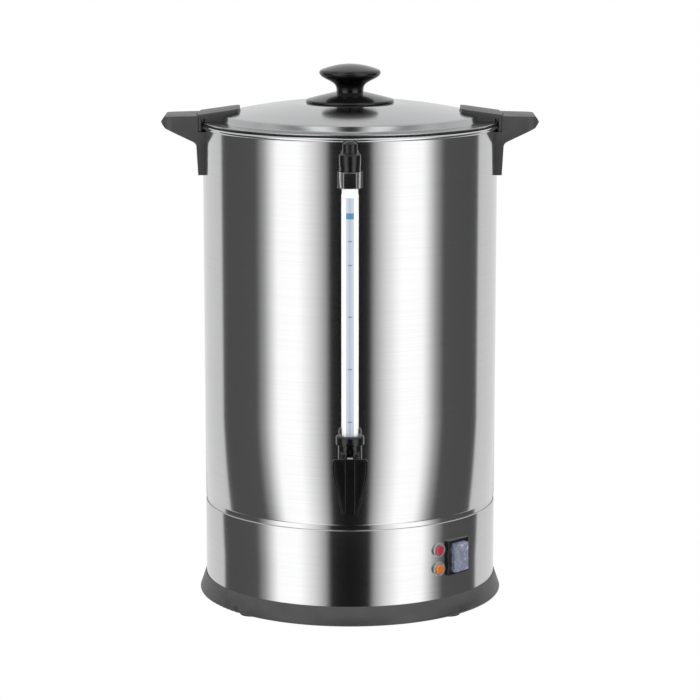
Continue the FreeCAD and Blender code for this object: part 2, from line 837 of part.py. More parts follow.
def make_handle():
    """A side handle: a leg that lies on the wall, a shelf to lift by and a pocket for the ear."""
    body = new_piece("handle_right")
    half = size.handle_half_width
    side_view = [
        (size.pocket_radius - 12, size.handle_foot_height),
        (size.handle_foot_reach, size.handle_foot_height),
        (size.handle_leg_reach, size.handle_leg_height),
        (size.handle_under_reach, size.handle_under_height),
        (size.handle_nose_reach, size.handle_nose_height),
        (size.handle_top_reach, size.handle_top_height),
        (size.pocket_radius - 12, size.handle_back_height),
    ]
    extruded(body, "handle_block", "XZ", [side_view], -half, half)
    leg_top = size.handle_leg_height.value
    under_top = size.handle_under_height.value
    rounded(body, "handle_leg_fillet_edge", size.handle_leg_fillet,
            lambda edge: along(edge, (0, 1, 0)) and abs(middle(edge).z - leg_top) < 0.1)
    rounded(body, "handle_nose_edges", size.handle_nose_round,
            lambda edge: along(edge, (0, 1, 0)) and middle(edge).z > under_top - 0.1
            and middle(edge).x > size.pocket_radius.value)
    top = size.handle_back_height + 1
    for side in (1, -1):
        extruded(body, f"handle_nose_corner_{(side + 3) // 2}", "XY", [nose_corner(side)],
                 size.handle_leg_height, top, cut=True)
    low = size.handle_foot_height - 1
    cut_ring(body, "handle_wall_seat", 0, wall_outer, low, size.pocket_floor)
    cut_ring(body, "handle_pocket", 0, size.pocket_radius, size.pocket_floor, top)
    cell = (2 * (half - size.cell_wall) - 2 * size.cell_wall) / 3
    cells = []
    for step in (-1, 0, 1):
        centre = step * (cell + size.cell_wall)
        cells.append(box(size.cell_start, centre - cell / 2, size.cell_end, centre + cell / 2))
    extruded(body, "handle_cells", "XY", cells, size.handle_leg_height, size.cell_top, cut=True)
    bores = [circle(*spot, size.insert_radius) for spot in handle_screw_spots]
    extruded(body, "handle_insert_bores", "YZ", bores, wall_inner - 5, size.insert_end, cut=True)
    mirrored_piece("handle_left", body)


def both_sides(body, name, shapes, near, far, cut=False):
    """The same rods along X on the right and on the left of the vessel."""
    extruded(body, name + "_right", "YZ", shapes, near, far, cut)
    extruded(body, name + "_left", "YZ", shapes, -far, -near, cut)


def make_handle_fixings():
    shanks = [circle(*spot, size.handle_screw_radius) for spot in handle_screw_spots]
    heads = [circle(*spot, size.handle_head_radius) for spot in handle_screw_spots]
    rings = [circle(*spot, size.seal_radius) for spot in handle_screw_spots]
    bores = [circle(*spot, size.insert_radius) for spot in handle_screw_spots]
    low = size.handle_foot_height
    high = size.handle_back_height

    screws = new_piece("handle_screws")
    both_sides(screws, "handle_heads", heads, size.seal_inner - size.handle_head_wall,
               size.seal_inner)
    both_sides(screws, "handle_shanks", shanks, size.seal_inner, size.insert_end - 1)

    seals = new_piece("handle_screw_seals")
    both_sides(seals, "handle_seals", rings, size.seal_inner, wall_inner + 0.5)
    cut_ring(seals, "handle_seal_seat", wall_inner, wall_outer * 1.1, low, high)
    both_sides(seals, "handle_seal_holes", shanks, size.seal_inner - 1, wall_outer, cut=True)

    inserts = new_piece("handle_inserts")
    both_sides(inserts, "insert_rods", bores, wall_inner - 1, size.insert_end)
    cut_ring(inserts, "insert_seat", 0, wall_outer, low, high)
    both_sides(inserts, "insert_holes", shanks, wall_inner - 2, size.insert_end, cut=True)


# Sizes of the lid
lid_sheet = 0.8
lid_flange_top = 443.5
lid_flange_radius = 136.4
lid_hem_wall = 2
lid_hem_bottom = 442.2
dome_centre = -63
dome_radius = 525
lid_seat_height = 459.5
step_top_radius = 116
step_bottom_radius = 119
locating_radius = 132.3
locating_wall = 0.8
locating_flange = 126
lid_seal_inner = 132.7
lid_seal_outer = 136
lid_seal_shoulder = 134.1
lid_seal_bottom = 441.3
lid_seal_thin = 0.6
lid_seal_thick = 1.1
knob_disc_radius = 40.3
knob_disc_edge = 2.5
knob_disc_top_radius = 15
knob_disc_top = 468.5
knob_neck_radius = 12.4
knob_neck_height = 471
knob_flare_radius = 14
knob_flare_height = 475.8
knob_under_radius = 26.6
knob_under_height = 483.2
knob_head_radius = 28.2
knob_head_height = 486.2
knob_edge_radius = 3.5
knob_crown_radius = 25
knob_crown_height = 489.6
knob_top = 494.5
knob_screw_radius = 2.5
knob_screw_end = 480
knob_screw_head = 4.5
knob_screw_head_wall = 3
knob_washer_radius = 9
knob_washer_wall = 1.2
ear_screw_x = 127
ear_screw_y = 15
ear_screw_top = 448
ear_half_width = 25
ear_inner_end = 101.5
ear_inner_height = 455.2
ear_outer_height = 449.8
ear_leg_outer = 139.8
ear_leg_inner = 137.4
ear_leg_bottom = 435
ear_slot_inner = 134
ear_slot_top = 446.8
ear_corner = 8
name_sizes()
flange_bottom = size.lid_flange_top - size.lid_sheet
seat_radius = root(size.dome_radius * size.dome_radius
                   - (size.lid_seat_height - size.dome_centre)
                   * (size.lid_seat_height - size.dome_centre))
ear_screw_spots = [(x * size.ear_screw_x, y * size.ear_screw_y) for x in (1, -1) for y in (1, -1)]


def dome_height(radius, thickness=0):
    """The height of the dome's surface, or of one that lies below it."""
    curve = size.dome_radius - thickness
    return size.dome_centre + root(curve * curve - radius * radius)


def lid_top_line():
    """The lid's upper surface from the step up to the axis."""
    return [
        (size.step_bottom_radius, size.lid_flange_top),
        (size.step_top_radius, dome_height(size.step_top_radius), size.dome_radius),
        (seat_radius, size.lid_seat_height),
        (0, size.lid_seat_height),
    ]


def make_lid():
    """The pressed lid: flat seat for the knob, dome, step, flange and hemmed edge."""
    body = new_piece("lid_dome")
    sheet_wall = size.lid_sheet
    inner_step = size.step_top_radius - sheet_wall
    hem_inner = size.lid_flange_radius - size.lid_hem_wall
    turned(body, "lid_section", [[
        (0, size.lid_seat_height - sheet_wall),
        (seat_radius, size.lid_seat_height - sheet_wall, -(size.dome_radius - sheet_wall)),
        (inner_step, dome_height(inner_step, sheet_wall)),
        (size.step_bottom_radius - sheet_wall, flange_bottom),
        (hem_inner, flange_bottom),
        (hem_inner, size.lid_hem_bottom),
        (size.lid_flange_radius, size.lid_hem_bottom),
        (size.lid_flange_radius, size.lid_flange_top),
    ] + lid_top_line()])
    extruded(body, "lid_knob_hole", "XY", [circle(0, 0, size.knob_screw_radius)],
             size.lid_seat_height - 2, size.lid_seat_height, cut=True)
    holes = [circle(*spot, size.screw_radius) for spot in ear_screw_spots]
    extruded(body, "lid_ear_holes", "XY", holes, flange_bottom, size.lid_flange_top, cut=True)


def make_locating_ring():
    """The ring under the lid that drops inside the rim."""
    body = new_piece("lid_locating_ring")
    inner = size.locating_radius - size.locating_wall
    low = flange_bottom - size.locating_wall
    turned(body, "locating_section", [[
        (size.locating_flange, low),
        (inner, low),
        (inner, size.pocket_floor),
        (size.locating_radius, size.pocket_floor),
        (size.locating_radius, flange_bottom),
        (size.locating_flange, flange_bottom),
    ]])
    holes = [circle(*spot, size.screw_radius) for spot in ear_screw_spots]
    extruded(body, "locating_holes", "XY", holes, low, flange_bottom, cut=True)


def make_lid_seal():
    body = new_piece("lid_seal")
    bottom = size.lid_seal_bottom
    turned(body, "seal_section", [[
        (size.lid_seal_inner, bottom),
        (size.lid_seal_outer, bottom),
        (size.lid_seal_outer, bottom + size.lid_seal_thin),
        (size.lid_seal_shoulder, bottom + size.lid_seal_thin),
        (size.lid_seal_shoulder, bottom + size.lid_seal_thick),
        (size.lid_seal_inner, bottom + size.lid_seal_thick),
    ]])


def make_knob():
    """The knob, the heat-shielding disc under it, and the screw and washer from below."""
    disc = new_piece("knob_base")
    turned(disc, "knob_disc_section", [[
        (size.knob_screw_radius, size.lid_seat_height),
        (size.knob_disc_radius, size.lid_seat_height),
        (size.knob_disc_radius, size.lid_seat_height + size.knob_disc_edge),
        (size.knob_disc_top_radius, size.knob_disc_top),
        (size.knob_screw_radius, size.knob_disc_top),
    ]])

    knob = new_piece("knob")
    turned(knob, "knob_section", [[
        (0, size.knob_disc_top),
        (size.knob_neck_radius, size.knob_disc_top),
        (size.knob_neck_radius, size.knob_neck_height),
        (size.knob_flare_radius, size.knob_flare_height),
        (size.knob_under_radius, size.knob_under_height, size.knob_edge_radius),
        (size.knob_head_radius, size.knob_head_height, size.knob_edge_radius * 1.5),
        (size.knob_crown_radius, size.knob_crown_height,
         crown_curve(size.knob_crown_radius, size.knob_top - size.knob_crown_height)),
        (0, size.knob_top),
    ]])
    extruded(knob, "knob_bore", "XY", [circle(0, 0, size.knob_screw_radius)],
             size.knob_disc_top, size.knob_screw_end, cut=True)

    lid_under = size.lid_seat_height - size.lid_sheet
    washer_bottom = lid_under - size.knob_washer_wall
    washer = new_piece("knob_washer")
    washer_outline = [circle(0, 0, size.knob_washer_radius), circle(0, 0, size.knob_screw_radius)]
    extruded(washer, "knob_washer_disc", "XY", washer_outline, washer_bottom, lid_under)

    screw = new_piece("knob_screw")
    extruded(screw, "knob_screw_head_disc", "XY", [circle(0, 0, size.knob_screw_head)],
             washer_bottom - size.knob_screw_head_wall, washer_bottom)
    extruded(screw, "knob_screw_shank", "XY", [circle(0, 0, size.knob_screw_radius)],
             washer_bottom, size.knob_screw_end - 1)


def make_ear():
    """An ear that grips the lid's edge and hangs into the pocket of the handle."""
    body = new_piece("lid_ear_right")
    half = size.ear_half_width
    block = [
        (size.ear_inner_end, size.ear_leg_bottom),
        (size.ear_leg_outer, size.ear_leg_bottom),
        (size.ear_leg_outer, size.ear_outer_height),
        (size.ear_inner_end, size.ear_inner_height),
    ]
    extruded(body, "ear_block", "XZ", [block], -half, half)
    rounded(body, "ear_corners", size.ear_corner,
            lambda edge: along(edge, (0, 0, 1)) and middle(edge).x < size.ear_inner_end.value + 1)
    low = size.ear_leg_bottom - 1
    turned(body, "ear_underside", [[
        (0, low),
        (size.ear_leg_inner, low),
        (size.ear_leg_inner, size.ear_slot_top),
        (size.ear_slot_inner, size.ear_slot_top),
        (size.ear_slot_inner, size.lid_flange_top),
    ] + lid_top_line()], cut=True)
    cut_ring(body, "ear_outside", size.ear_leg_outer, size.ear_leg_outer * 1.1, low,
             size.ear_inner_height)
    spots = [spot for spot in ear_screw_spots if spot[0].value > 0]
    holes = [circle(*spot, size.screw_radius) for spot in spots]
    extruded(body, "ear_pilot_holes", "XY", holes, size.lid_flange_top, size.ear_screw_top,
             cut=True)
    mirrored_piece("lid_ear_left", body)

    screws = new_piece("ear_screws")
    seat = flange_bottom - size.locating_wall
    heads = [circle(*spot, size.screw_head_radius) for spot in ear_screw_spots]
    shanks = [circle(*spot, size.screw_radius) for spot in ear_screw_spots]
    extruded(screws, "ear_screw_heads", "XY", heads, seat - size.screw_head_height, seat)
    extruded(screws, "ear_screw_shanks", "XY", shanks, seat, size.ear_screw_top)


# Sizes of the level gauge, whose axis stands in front of the vessel
gauge_reach = 150
tube_radius = 7.2
tube_bore = 4
tube_bottom = 152
tube_top = 424
nut_bore_gap = 0.1
stripe_wall = 0.3
stripe_glue = 0.05
stripe_bottom = 186
stripe_top = 393
stripe_cut = 1
tee_neck_radius = 10.5
tee_neck_top = 172
tee_neck_bottom = 129
tee_arm_radius = 9.5
tee_bore = 5
tee_front = 162
tee_spigot_radius = 7
tee_spigot_end = 164.8
tee_flange_radius = 13
tee_flange_wall = 2.4
tee_flange_back = 136.6
tee_thread_end = 122
tee_seal_radius = 12
tee_seal_inner = 131.5
tee_nut_flats = 24
tee_nut_wall = 6
lower_seal_radius = 9
lower_seal_bottom = 165
lower_seal_top = 169
lower_nut_radius = 12.5
lower_nut_top = 180
lower_nut_chamfer = 1
gauge_nut_flats = 19
gauge_nut_bottom = 399
gauge_nut_top = 413
upper_seal_radius = 8.3
upper_seal_bottom = 415
upper_seal_top = 418
top_ring_radius = 9
top_ring_top = 417
top_collar_radius = 9.5
top_collar_bottom = 418.5
top_collar_top = 427.5
top_shoulder_radius = 8.2
top_shoulder_height = 428.7
top_neck_radius = 6.5
top_neck_bottom = 429.2
top_neck_shoulder = 437
top_neck_top = 440
top_arm_radius = 6
top_flange_radius = 8
top_flange_wall = 2
top_flange_back = 136.5
top_arm_bore = 2.5
top_thread_end = 126
top_nut_flats = 16
top_nut_wall = 4
name_sizes()


def make_gauge_tee():
    """The tee behind the tap: it feeds the tap and the bottom of the gauge tube."""
    body = new_piece("gauge_tee", forward=size.gauge_reach)
    wall_flange = size.gauge_reach - size.tee_flange_back
    turned(body, "tee_neck", [box(0, size.tee_neck_bottom, size.tee_neck_radius, size.tee_neck_top)])
    extruded(body, "tee_arm", "XZ", [circle(0, size.tee_height, size.tee_arm_radius)],
             size.gauge_reach - size.tee_front, wall_flange)
    extruded(body, "tee_spigot", "XZ", [circle(0, size.tee_height, size.tee_spigot_radius)],
             size.gauge_reach - size.tee_spigot_end, 0)
    extruded(body, "tee_flange", "XZ", [circle(0, size.tee_height, size.tee_flange_radius)],
             wall_flange - size.tee_flange_wall, wall_flange)
    extruded(body, "tee_thread", "XZ", [circle(0, size.tee_height, size.tee_thread_radius)],
             wall_flange - 1, size.gauge_reach - size.tee_thread_end)
    extruded(body, "tee_way", "XZ", [circle(0, size.tee_height, size.tee_bore)],
             size.gauge_reach - size.tee_spigot_end, size.gauge_reach - size.tee_thread_end,
             cut=True)
    turned(body, "tee_gauge_way", [[
        (0, size.tee_height),
        (size.tube_bore, size.tee_height),
        (size.tube_bore, size.tube_bottom),
        (size.tube_radius, size.tube_bottom),
        (size.tube_radius, size.lower_seal_bottom),
        (size.lower_seal_radius, size.lower_seal_bottom),
        (size.lower_seal_radius, size.tee_neck_top),
        (0, size.tee_neck_top),
    ]], cut=True)


def make_wall_fixings(prefix, height, thread, seal_radius, flange_back, seal_inner, flats, nut_wall):
    """Two seals with the wall between them, and the nut that draws them together."""
    low = height - size.clear_of_wall
    high = height + size.clear_of_wall
    seals = new_piece(prefix + "_seals")
    extruded(seals, prefix + "_seal_rod", "XZ",
             [circle(0, height, seal_radius), circle(0, height, thread)], -flange_back, -seal_inner)
    cut_ring(seals, prefix + "_seal_wall", wall_inner, wall_outer, low, high)
    nut = new_piece(prefix + "_locknut")
    extruded(nut, prefix + "_nut_body", "XZ",
             [hexagon(0, height, flats), circle(0, height, thread)],
             -seal_inner, -(seal_inner - nut_wall))


def make_gauge_top():
    """The upper fitting, which holds the tube and vents it into the tank."""
    body = new_piece("gauge_top_fitting", forward=size.gauge_reach)
    wall_flange = size.gauge_reach - size.top_flange_back
    turned(body, "top_section", [[
        (0, size.gauge_nut_top),
        (size.top_ring_radius, size.gauge_nut_top),
        (size.top_ring_radius, size.top_ring_top),
        (size.top_collar_radius, size.top_collar_bottom),
        (size.top_collar_radius, size.top_collar_top),
        (size.top_shoulder_radius, size.top_shoulder_height),
        (size.top_neck_radius, size.top_neck_bottom),
        (size.top_neck_radius, size.top_neck_shoulder,
         crown_curve(size.top_neck_radius, size.top_neck_top - size.top_neck_shoulder)),
        (0, size.top_neck_top),
    ]])
    extruded(body, "top_arm", "XZ", [circle(0, size.top_port_height, size.top_arm_radius)],
             0, wall_flange)
    extruded(body, "top_flange", "XZ", [circle(0, size.top_port_height, size.top_flange_radius)],
             wall_flange - size.top_flange_wall, wall_flange)
    extruded(body, "top_thread", "XZ", [circle(0, size.top_port_height, size.top_thread_radius)],
             wall_flange - 1, size.gauge_reach - size.top_thread_end)
    extruded(body, "top_way", "XZ", [circle(0, size.top_port_height, size.top_arm_bore)],
             0, size.gauge_reach - size.top_thread_end, cut=True)
    turned(body, "top_tube_socket", [[
        (0, size.gauge_nut_top),
        (size.upper_seal_radius, size.gauge_nut_top),
        (size.upper_seal_radius, size.upper_seal_top),
        (size.tube_radius, size.upper_seal_top),
        (size.tube_radius, size.tube_top),
        (0, size.tube_top),
    ]], cut=True)


def make_gauge_tube():
    tube = new_piece("gauge_tube", forward=size.gauge_reach)
    turned(tube, "tube_wall", [box(size.tube_bore, size.tube_bottom, size.tube_radius, size.tube_top)])

    stripe = new_piece("gauge_stripe", forward=size.gauge_reach)
    inner = size.tube_radius + size.stripe_glue
    outer = inner + size.stripe_wall
    turned(stripe, "stripe_ring", [box(inner, size.stripe_bottom, outer, size.stripe_top)])
    extruded(stripe, "stripe_front", "XY", [box(-outer, -outer, outer, size.stripe_cut)],
             size.stripe_bottom, size.stripe_top, cut=True)

    seals = new_piece("gauge_seals", forward=size.gauge_reach)
    lower = box(size.tube_radius, size.lower_seal_bottom,
                size.lower_seal_radius, size.lower_seal_top)
    upper = box(size.tube_radius, size.upper_seal_bottom,
                size.upper_seal_radius, size.upper_seal_top)
    turned(seals, "seal_rings", [lower, upper])


def make_gauge_nuts():
    bore = size.tube_radius + size.nut_bore_gap
    lower = new_piece("gauge_lower_nut", forward=size.gauge_reach)
    turned(lower, "lower_nut_section", [[
        (bore, size.lower_seal_top),
        (size.lower_seal_radius, size.lower_seal_top),
        (size.lower_seal_radius, size.tee_neck_top),
        (size.lower_nut_radius, size.tee_neck_top),
        (size.lower_nut_radius, size.lower_nut_top - size.lower_nut_chamfer),
        (size.lower_nut_radius - size.lower_nut_chamfer, size.lower_nut_top),
        (bore, size.lower_nut_top),
    ]])

    upper = new_piece("gauge_nut", forward=size.gauge_reach)
    extruded(upper, "gauge_nut_hexagon", "XY", [hexagon(0, 0, size.gauge_nut_flats)],
             size.gauge_nut_bottom, size.gauge_nut_top)
    extruded(upper, "gauge_nut_spigot", "XY", [circle(0, 0, size.upper_seal_radius)],
             size.gauge_nut_top, size.upper_seal_bottom)
    extruded(upper, "gauge_nut_bore", "XY", [circle(0, 0, bore)],
             size.gauge_nut_bottom, size.upper_seal_bottom, cut=True)


# Sizes of the tap
tap_reach = 173
tap_radius = 10.5
tap_bottom = 117
tap_nozzle_radius = 7
tap_cone_top = 128
tap_top = 152
chamber_radius = 8
outlet_bore = 4.5
outlet_top = 129.5
chamber_bottom = 133
bonnet_radius = 11.5
bonnet_bottom = 149.8
bonnet_top = 157
bonnet_chamfer = 1
spring_roof = 154
spring_room = 5
stem_radius = 2
stem_gap = 0.15
stem_bottom = 133
stem_flange_radius = 5
stem_flange_bottom = 138
stem_flange_top = 139.5
stem_eye_radius = 3.2
stem_eye_half = 2.5
plug_radius = 7
plug_bottom = 130
plug_seat_gap = 0.07
spring_coil = 3.8
spring_wire = 0.4
spring_turns = 5
pin_height = 161.8
pin_radius = 1.5
pin_half_length = 9
pin_gap = 0.05
cam_radius = 6.19
cam_behind = 1.81
cam_above = 1.69
cam_inner = 3
cam_outer = 8
lever_front = 187.2
lever_back = 184.9
lever_half_width = 15.15
lever_top = 166.2
lever_shoulder = 153.3
lever_tip_half = 7
lever_tip = 116.3
lever_corner = 2.2
lever_shoulder_round = 8
lever_rim = 1.6
lever_recess = 0.8
lever_rib_half = 4
lever_flange = 5
name_sizes()


def make_tap_body():
    """The tap's body: chamber, conical seat, outlet and the boss that takes the tee's spigot."""
    body = new_piece("tap_body", forward=size.tap_reach)
    turned(body, "tap_outside", [[
        (0, size.tap_bottom),
        (size.tap_nozzle_radius, size.tap_bottom),
        (size.tap_radius, size.tap_cone_top),
        (size.tap_radius, size.tap_top),
        (0, size.tap_top),
    ]])
    boss_end = size.tap_reach - size.tee_front
    extruded(body, "tap_boss", "XZ", [circle(0, size.tee_height, size.tee_arm_radius)], 0, boss_end)
    extruded(body, "tap_inlet", "XZ", [circle(0, size.tee_height, size.tee_bore)], 0, boss_end,
             cut=True)
    extruded(body, "tap_socket", "XZ", [circle(0, size.tee_height, size.tee_spigot_radius)],
             size.tap_reach - size.tee_spigot_end, boss_end, cut=True)
    turned(body, "tap_inside", [[
        (0, size.tap_bottom),
        (size.outlet_bore, size.tap_bottom),
        (size.outlet_bore, size.outlet_top),
        (size.chamber_radius, size.chamber_bottom),
        (size.chamber_radius, size.tap_top),
        (0, size.tap_top),
    ]], cut=True)


def make_tap_bonnet():
    body = new_piece("tap_bonnet", forward=size.tap_reach)
    turned(body, "bonnet_section", [[
        (size.tap_radius, size.bonnet_bottom),
        (size.bonnet_radius, size.bonnet_bottom),
        (size.bonnet_radius, size.bonnet_top - size.bonnet_chamfer),
        (size.bonnet_radius - size.bonnet_chamfer, size.bonnet_top),
        (size.stem_radius + size.stem_gap, size.bonnet_top),
        (size.stem_radius + size.stem_gap, size.spring_roof),
        (size.spring_room, size.spring_roof),
        (size.spring_room, size.tap_top),
        (size.tap_radius, size.tap_top),
    ]])


def make_tap_stem():
    """The stem with its eye, the plug on its foot and the pin that the lever turns on."""
    stem = new_piece("tap_stem", forward=size.tap_reach)
    turned(stem, "stem_section", [[
        (0, size.stem_bottom),
        (size.stem_radius, size.stem_bottom),
        (size.stem_radius, size.stem_flange_bottom),
        (size.stem_flange_radius, size.stem_flange_bottom),
        (size.stem_flange_radius, size.stem_flange_top),
        (size.stem_radius, size.stem_flange_top),
        (size.stem_radius, size.pin_height),
        (0, size.pin_height),
    ]])
    eye = circle(0, size.pin_height, size.stem_eye_radius)
    extruded(stem, "stem_eye", "YZ", [eye], -size.stem_eye_half, size.stem_eye_half)
    hole = circle(0, size.pin_height, size.pin_radius)
    extruded(stem, "stem_pin_hole", "YZ", [hole], -size.stem_eye_half, size.stem_eye_half, cut=True)

    plug = new_piece("valve_plug", forward=size.tap_reach)
    low_radius = size.outlet_bore + (size.plug_bottom - size.outlet_top) - size.plug_seat_gap
    cone_top = size.plug_bottom + (size.plug_radius - low_radius)
    turned(plug, "plug_section", [[
        (0, size.plug_bottom),
        (low_radius, size.plug_bottom),
        (size.plug_radius, cone_top),
        (size.plug_radius, size.stem_flange_bottom),
        (size.stem_radius, size.stem_flange_bottom),
        (size.stem_radius, size.stem_bottom),
        (0, size.stem_bottom),
    ]])

    pin = new_piece("lever_pin", forward=size.tap_reach)
    extruded(pin, "pin_rod", "YZ", [circle(0, size.pin_height, size.pin_radius)],
             -size.pin_half_length, size.pin_half_length)


def make_tap_spring():
    """The spring between the stem's flange and the roof of the bonnet."""
    body = new_piece("tap_spring", forward=size.tap_reach)
    start = size.stem_flange_top + size.spring_wire
    drawing = sketch(body, "spring_wire_outline", "XZ",
                     [circle(size.spring_coil, start, size.spring_wire)])
    coil = body.newObject("PartDesign::AdditiveHelix", "spring_coils")
    coil.Profile = drawing
    coil.ReferenceAxis = (drawing, ["V_Axis"])
    coil.Mode = "height-turns-angle"
    bind(coil, "Height", size.spring_roof - size.stem_flange_top - 2 * size.spring_wire)
    bind(coil, "Turns", size.spring_turns)


def lever_recess(side):
    """One of the two shallow hollows beside the lever's middle rib."""
    rim = size.lever_rim
    top = size.lever_top - rim
    tip = size.lever_tip + rim
    return [
        (side * size.lever_rib_half, tip),
        (side * (size.lever_tip_half - rim / 2), tip),
        (side * (size.lever_half_width - rim), size.lever_shoulder),
        (side * (size.lever_half_width - rim), top),
        (side * size.lever_rib_half, top),
    ]


def make_tap_lever():
    """The lever: a front plate to push or lift, and two cams that ride on the bonnet."""
    body = new_piece("tap_lever")
    right_side = [
        (size.lever_tip_half, size.lever_tip),
        (size.lever_half_width, size.lever_shoulder),
        (size.lever_half_width, size.lever_top),
    ]
    plate = right_side + [(-x, z) for x, z in reversed(right_side)]
    extruded(body, "lever_plate", "XZ", [plate], -size.lever_front, -size.lever_back)
    shoulder = size.lever_shoulder.value
    rounded(body, "lever_shoulders", size.lever_shoulder_round,
            lambda edge: along(edge, (0, 1, 0)) and abs(middle(edge).z - shoulder) < 0.1)
    rounded(body, "lever_corners", size.lever_corner,
            lambda edge: along(edge, (0, 1, 0)) and abs(middle(edge).z - shoulder) > 10)
    hollows = [lever_recess(1), lever_recess(-1)]
    extruded(body, "lever_hollows", "XZ", hollows, -size.lever_front,
             -(size.lever_front - size.lever_recess), cut=True)
    pivot = -size.tap_reach
    heel = pivot + size.cam_behind
    heel_bottom = size.pin_height + size.cam_above - size.cam_radius
    front = -(size.lever_back + 0.5)
    arm = box(front, heel_bottom, heel, size.lever_top)
    round_heel = circle(heel, size.pin_height + size.cam_above, size.cam_radius)
    hole = circle(pivot, size.pin_height, size.pin_radius + size.pin_gap)
    both_sides(body, "lever_arm", [arm], size.cam_inner, size.cam_outer)
    both_sides(body, "lever_heel", [round_heel], size.cam_inner, size.cam_outer)
    flange = box(front, size.lever_shoulder + 3, -(size.lever_back - size.lever_flange),
                 size.lever_top - size.lever_corner)
    both_sides(body, "lever_flange", [flange], size.lever_half_width - size.lever_rim,
               size.lever_half_width)
    extruded(body, "lever_pin_hole", "YZ", [hole], -size.cam_outer, size.cam_outer, cut=True)


# Leads in the base: each runs from a tab of a heater part down to the terminal block

lead_drop = 9
name_sizes()


def lead(start, end):
    """A soft wire that leaves a tab downwards and comes down into the terminal block."""
    down = FreeCAD.Vector(0, 0, -1)
    over = end - down * size.lead_drop.value
    curve = Part.BSplineCurve()
    knee = (start + over) / 2
    knee.z = over.z
    curve.interpolate([start, knee, over, end],
                      InitialTangent=down, FinalTangent=down)
    path = Part.Wire([curve.toShape()])
    ring = Part.Wire([Part.Circle(start, down, size.lead_radius.value).toShape()])
    return path.makePipeShell([ring], True, True)


def make_leads(thermostat_angles):
    block_top = (size.skirt_bottom + size.sheet_wall + size.block_tall).value
    row = (size.block_near.value + size.block_far.value) / 2
    tab_end = (plate_bottom - size.thermostat_tall - size.tab_long).value
    wires = []
    for step, angle in zip((-1, 0, 1), thermostat_angles):
        x, y = polar(size.thermostat_ring, angle)
        start = FreeCAD.Vector(x.value, (y + size.tab_spacing / 2).value, tab_end)
        end = FreeCAD.Vector(step * size.block_pitch.value, row,
                             block_top - size.block_hole_depth.value)
        wires.append(lead(start, end))
    leads = doc.addObject("Part::Feature", "inner_leads")
    leads.Label = "inner_leads"
    leads.Shape = Part.makeCompound(wires)
    pieces.append(leads)


make_tank()
make_tank_floor()
make_skirt()
make_base_ring()
make_bottom_cover()
make_base_screws()
make_rubber_feet()
make_heater_plate()
make_element("boil_element", size.boil_ring, size.boil_tube_radius)
make_element("keep_warm_element", size.warm_ring, size.warm_tube_radius)
make_thermostat("boil_thermostat", 150)
make_thermostat("dry_boil_cutout", 90)
make_thermostat("keep_warm_thermostat", 40)
make_terminal_block()
make_leads((150, 90, 40))
make_cord_gland()
make_switch_housing()
make_switch_terminals()
make_switch_rocker()
make_splash_cover()
make_lamps()
make_handle()
make_handle_fixings()
make_lid()
make_locating_ring()
make_lid_seal()
make_knob()
make_ear()
make_gauge_tee()
make_wall_fixings("tee", size.tee_height, size.tee_thread_radius, size.tee_seal_radius,
                  size.tee_flange_back, size.tee_seal_inner, size.tee_nut_flats,
                  size.tee_nut_wall)
make_gauge_top()
make_wall_fixings("gauge_top", size.top_port_height, size.top_thread_radius,
                  size.top_flange_radius, size.top_flange_back, size.tee_seal_inner,
                  size.top_nut_flats, size.top_nut_wall)
make_gauge_tube()
make_gauge_nuts()
make_tap_body()
make_tap_bonnet()
make_tap_stem()
make_tap_spring()
make_tap_lever()

doc.recompute()
for item in doc.Objects:
    if "Invalid" in item.State or "Error" in item.State:
        raise RuntimeError(f"{item.Name} did not build: {item.State}")
for piece in pieces:
    if piece.Shape.isNull() or not piece.Shape.isValid():
        raise RuntimeError(f"{piece.Label} has no valid shape")
for piece in pieces:
    piece.Shape.exportStep(f"parts/{piece.Label}.step")
    print(piece.Label, len(piece.Shape.Solids), round(piece.Shape.Volume, 1))
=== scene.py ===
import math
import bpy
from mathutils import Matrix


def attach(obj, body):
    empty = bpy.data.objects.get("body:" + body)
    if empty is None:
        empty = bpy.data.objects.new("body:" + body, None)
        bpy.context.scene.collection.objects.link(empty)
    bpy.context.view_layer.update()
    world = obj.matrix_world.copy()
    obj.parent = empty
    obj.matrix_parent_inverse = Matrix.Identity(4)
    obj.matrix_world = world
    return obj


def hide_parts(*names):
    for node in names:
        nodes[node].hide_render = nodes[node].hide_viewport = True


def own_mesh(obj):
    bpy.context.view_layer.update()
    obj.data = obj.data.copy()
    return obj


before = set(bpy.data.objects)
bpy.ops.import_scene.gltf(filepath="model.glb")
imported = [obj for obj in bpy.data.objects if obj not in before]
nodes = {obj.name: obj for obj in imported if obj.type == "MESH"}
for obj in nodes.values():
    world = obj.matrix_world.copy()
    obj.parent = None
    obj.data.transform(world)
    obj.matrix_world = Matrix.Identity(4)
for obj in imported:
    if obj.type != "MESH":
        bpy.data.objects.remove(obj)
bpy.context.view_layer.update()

# %% [markdown]
# # Dressing a hot water urn
# The solids of the urn are already in place. This lesson gives them the looks of the real
# thing: brushed steel, black mouldings, glass and chrome. First the number of solids is
# printed.

MM = 0.001
print("nodes loaded:", len(nodes))

# %% [markdown]
# ## Camera
# The urn was photographed from the front with a long lens, from a little above the lid. A
# camera 2.5 m away that looks slightly down gives the same near-parallel sides and the same
# flat ellipse at the rim.

# %% Camera
CAMERA_SPOT = (0.0, -2.5, 0.69)
AIM_HEIGHT = 0.2285
LENS = 140.4
SENSOR_WIDTH = 36.0
FAR_CLIP = 50.0


def drop_angle(spot):
    """How far something on the front's middle line looks down at the middle of the urn."""
    return math.atan2(spot[2] - AIM_HEIGHT, -spot[1])


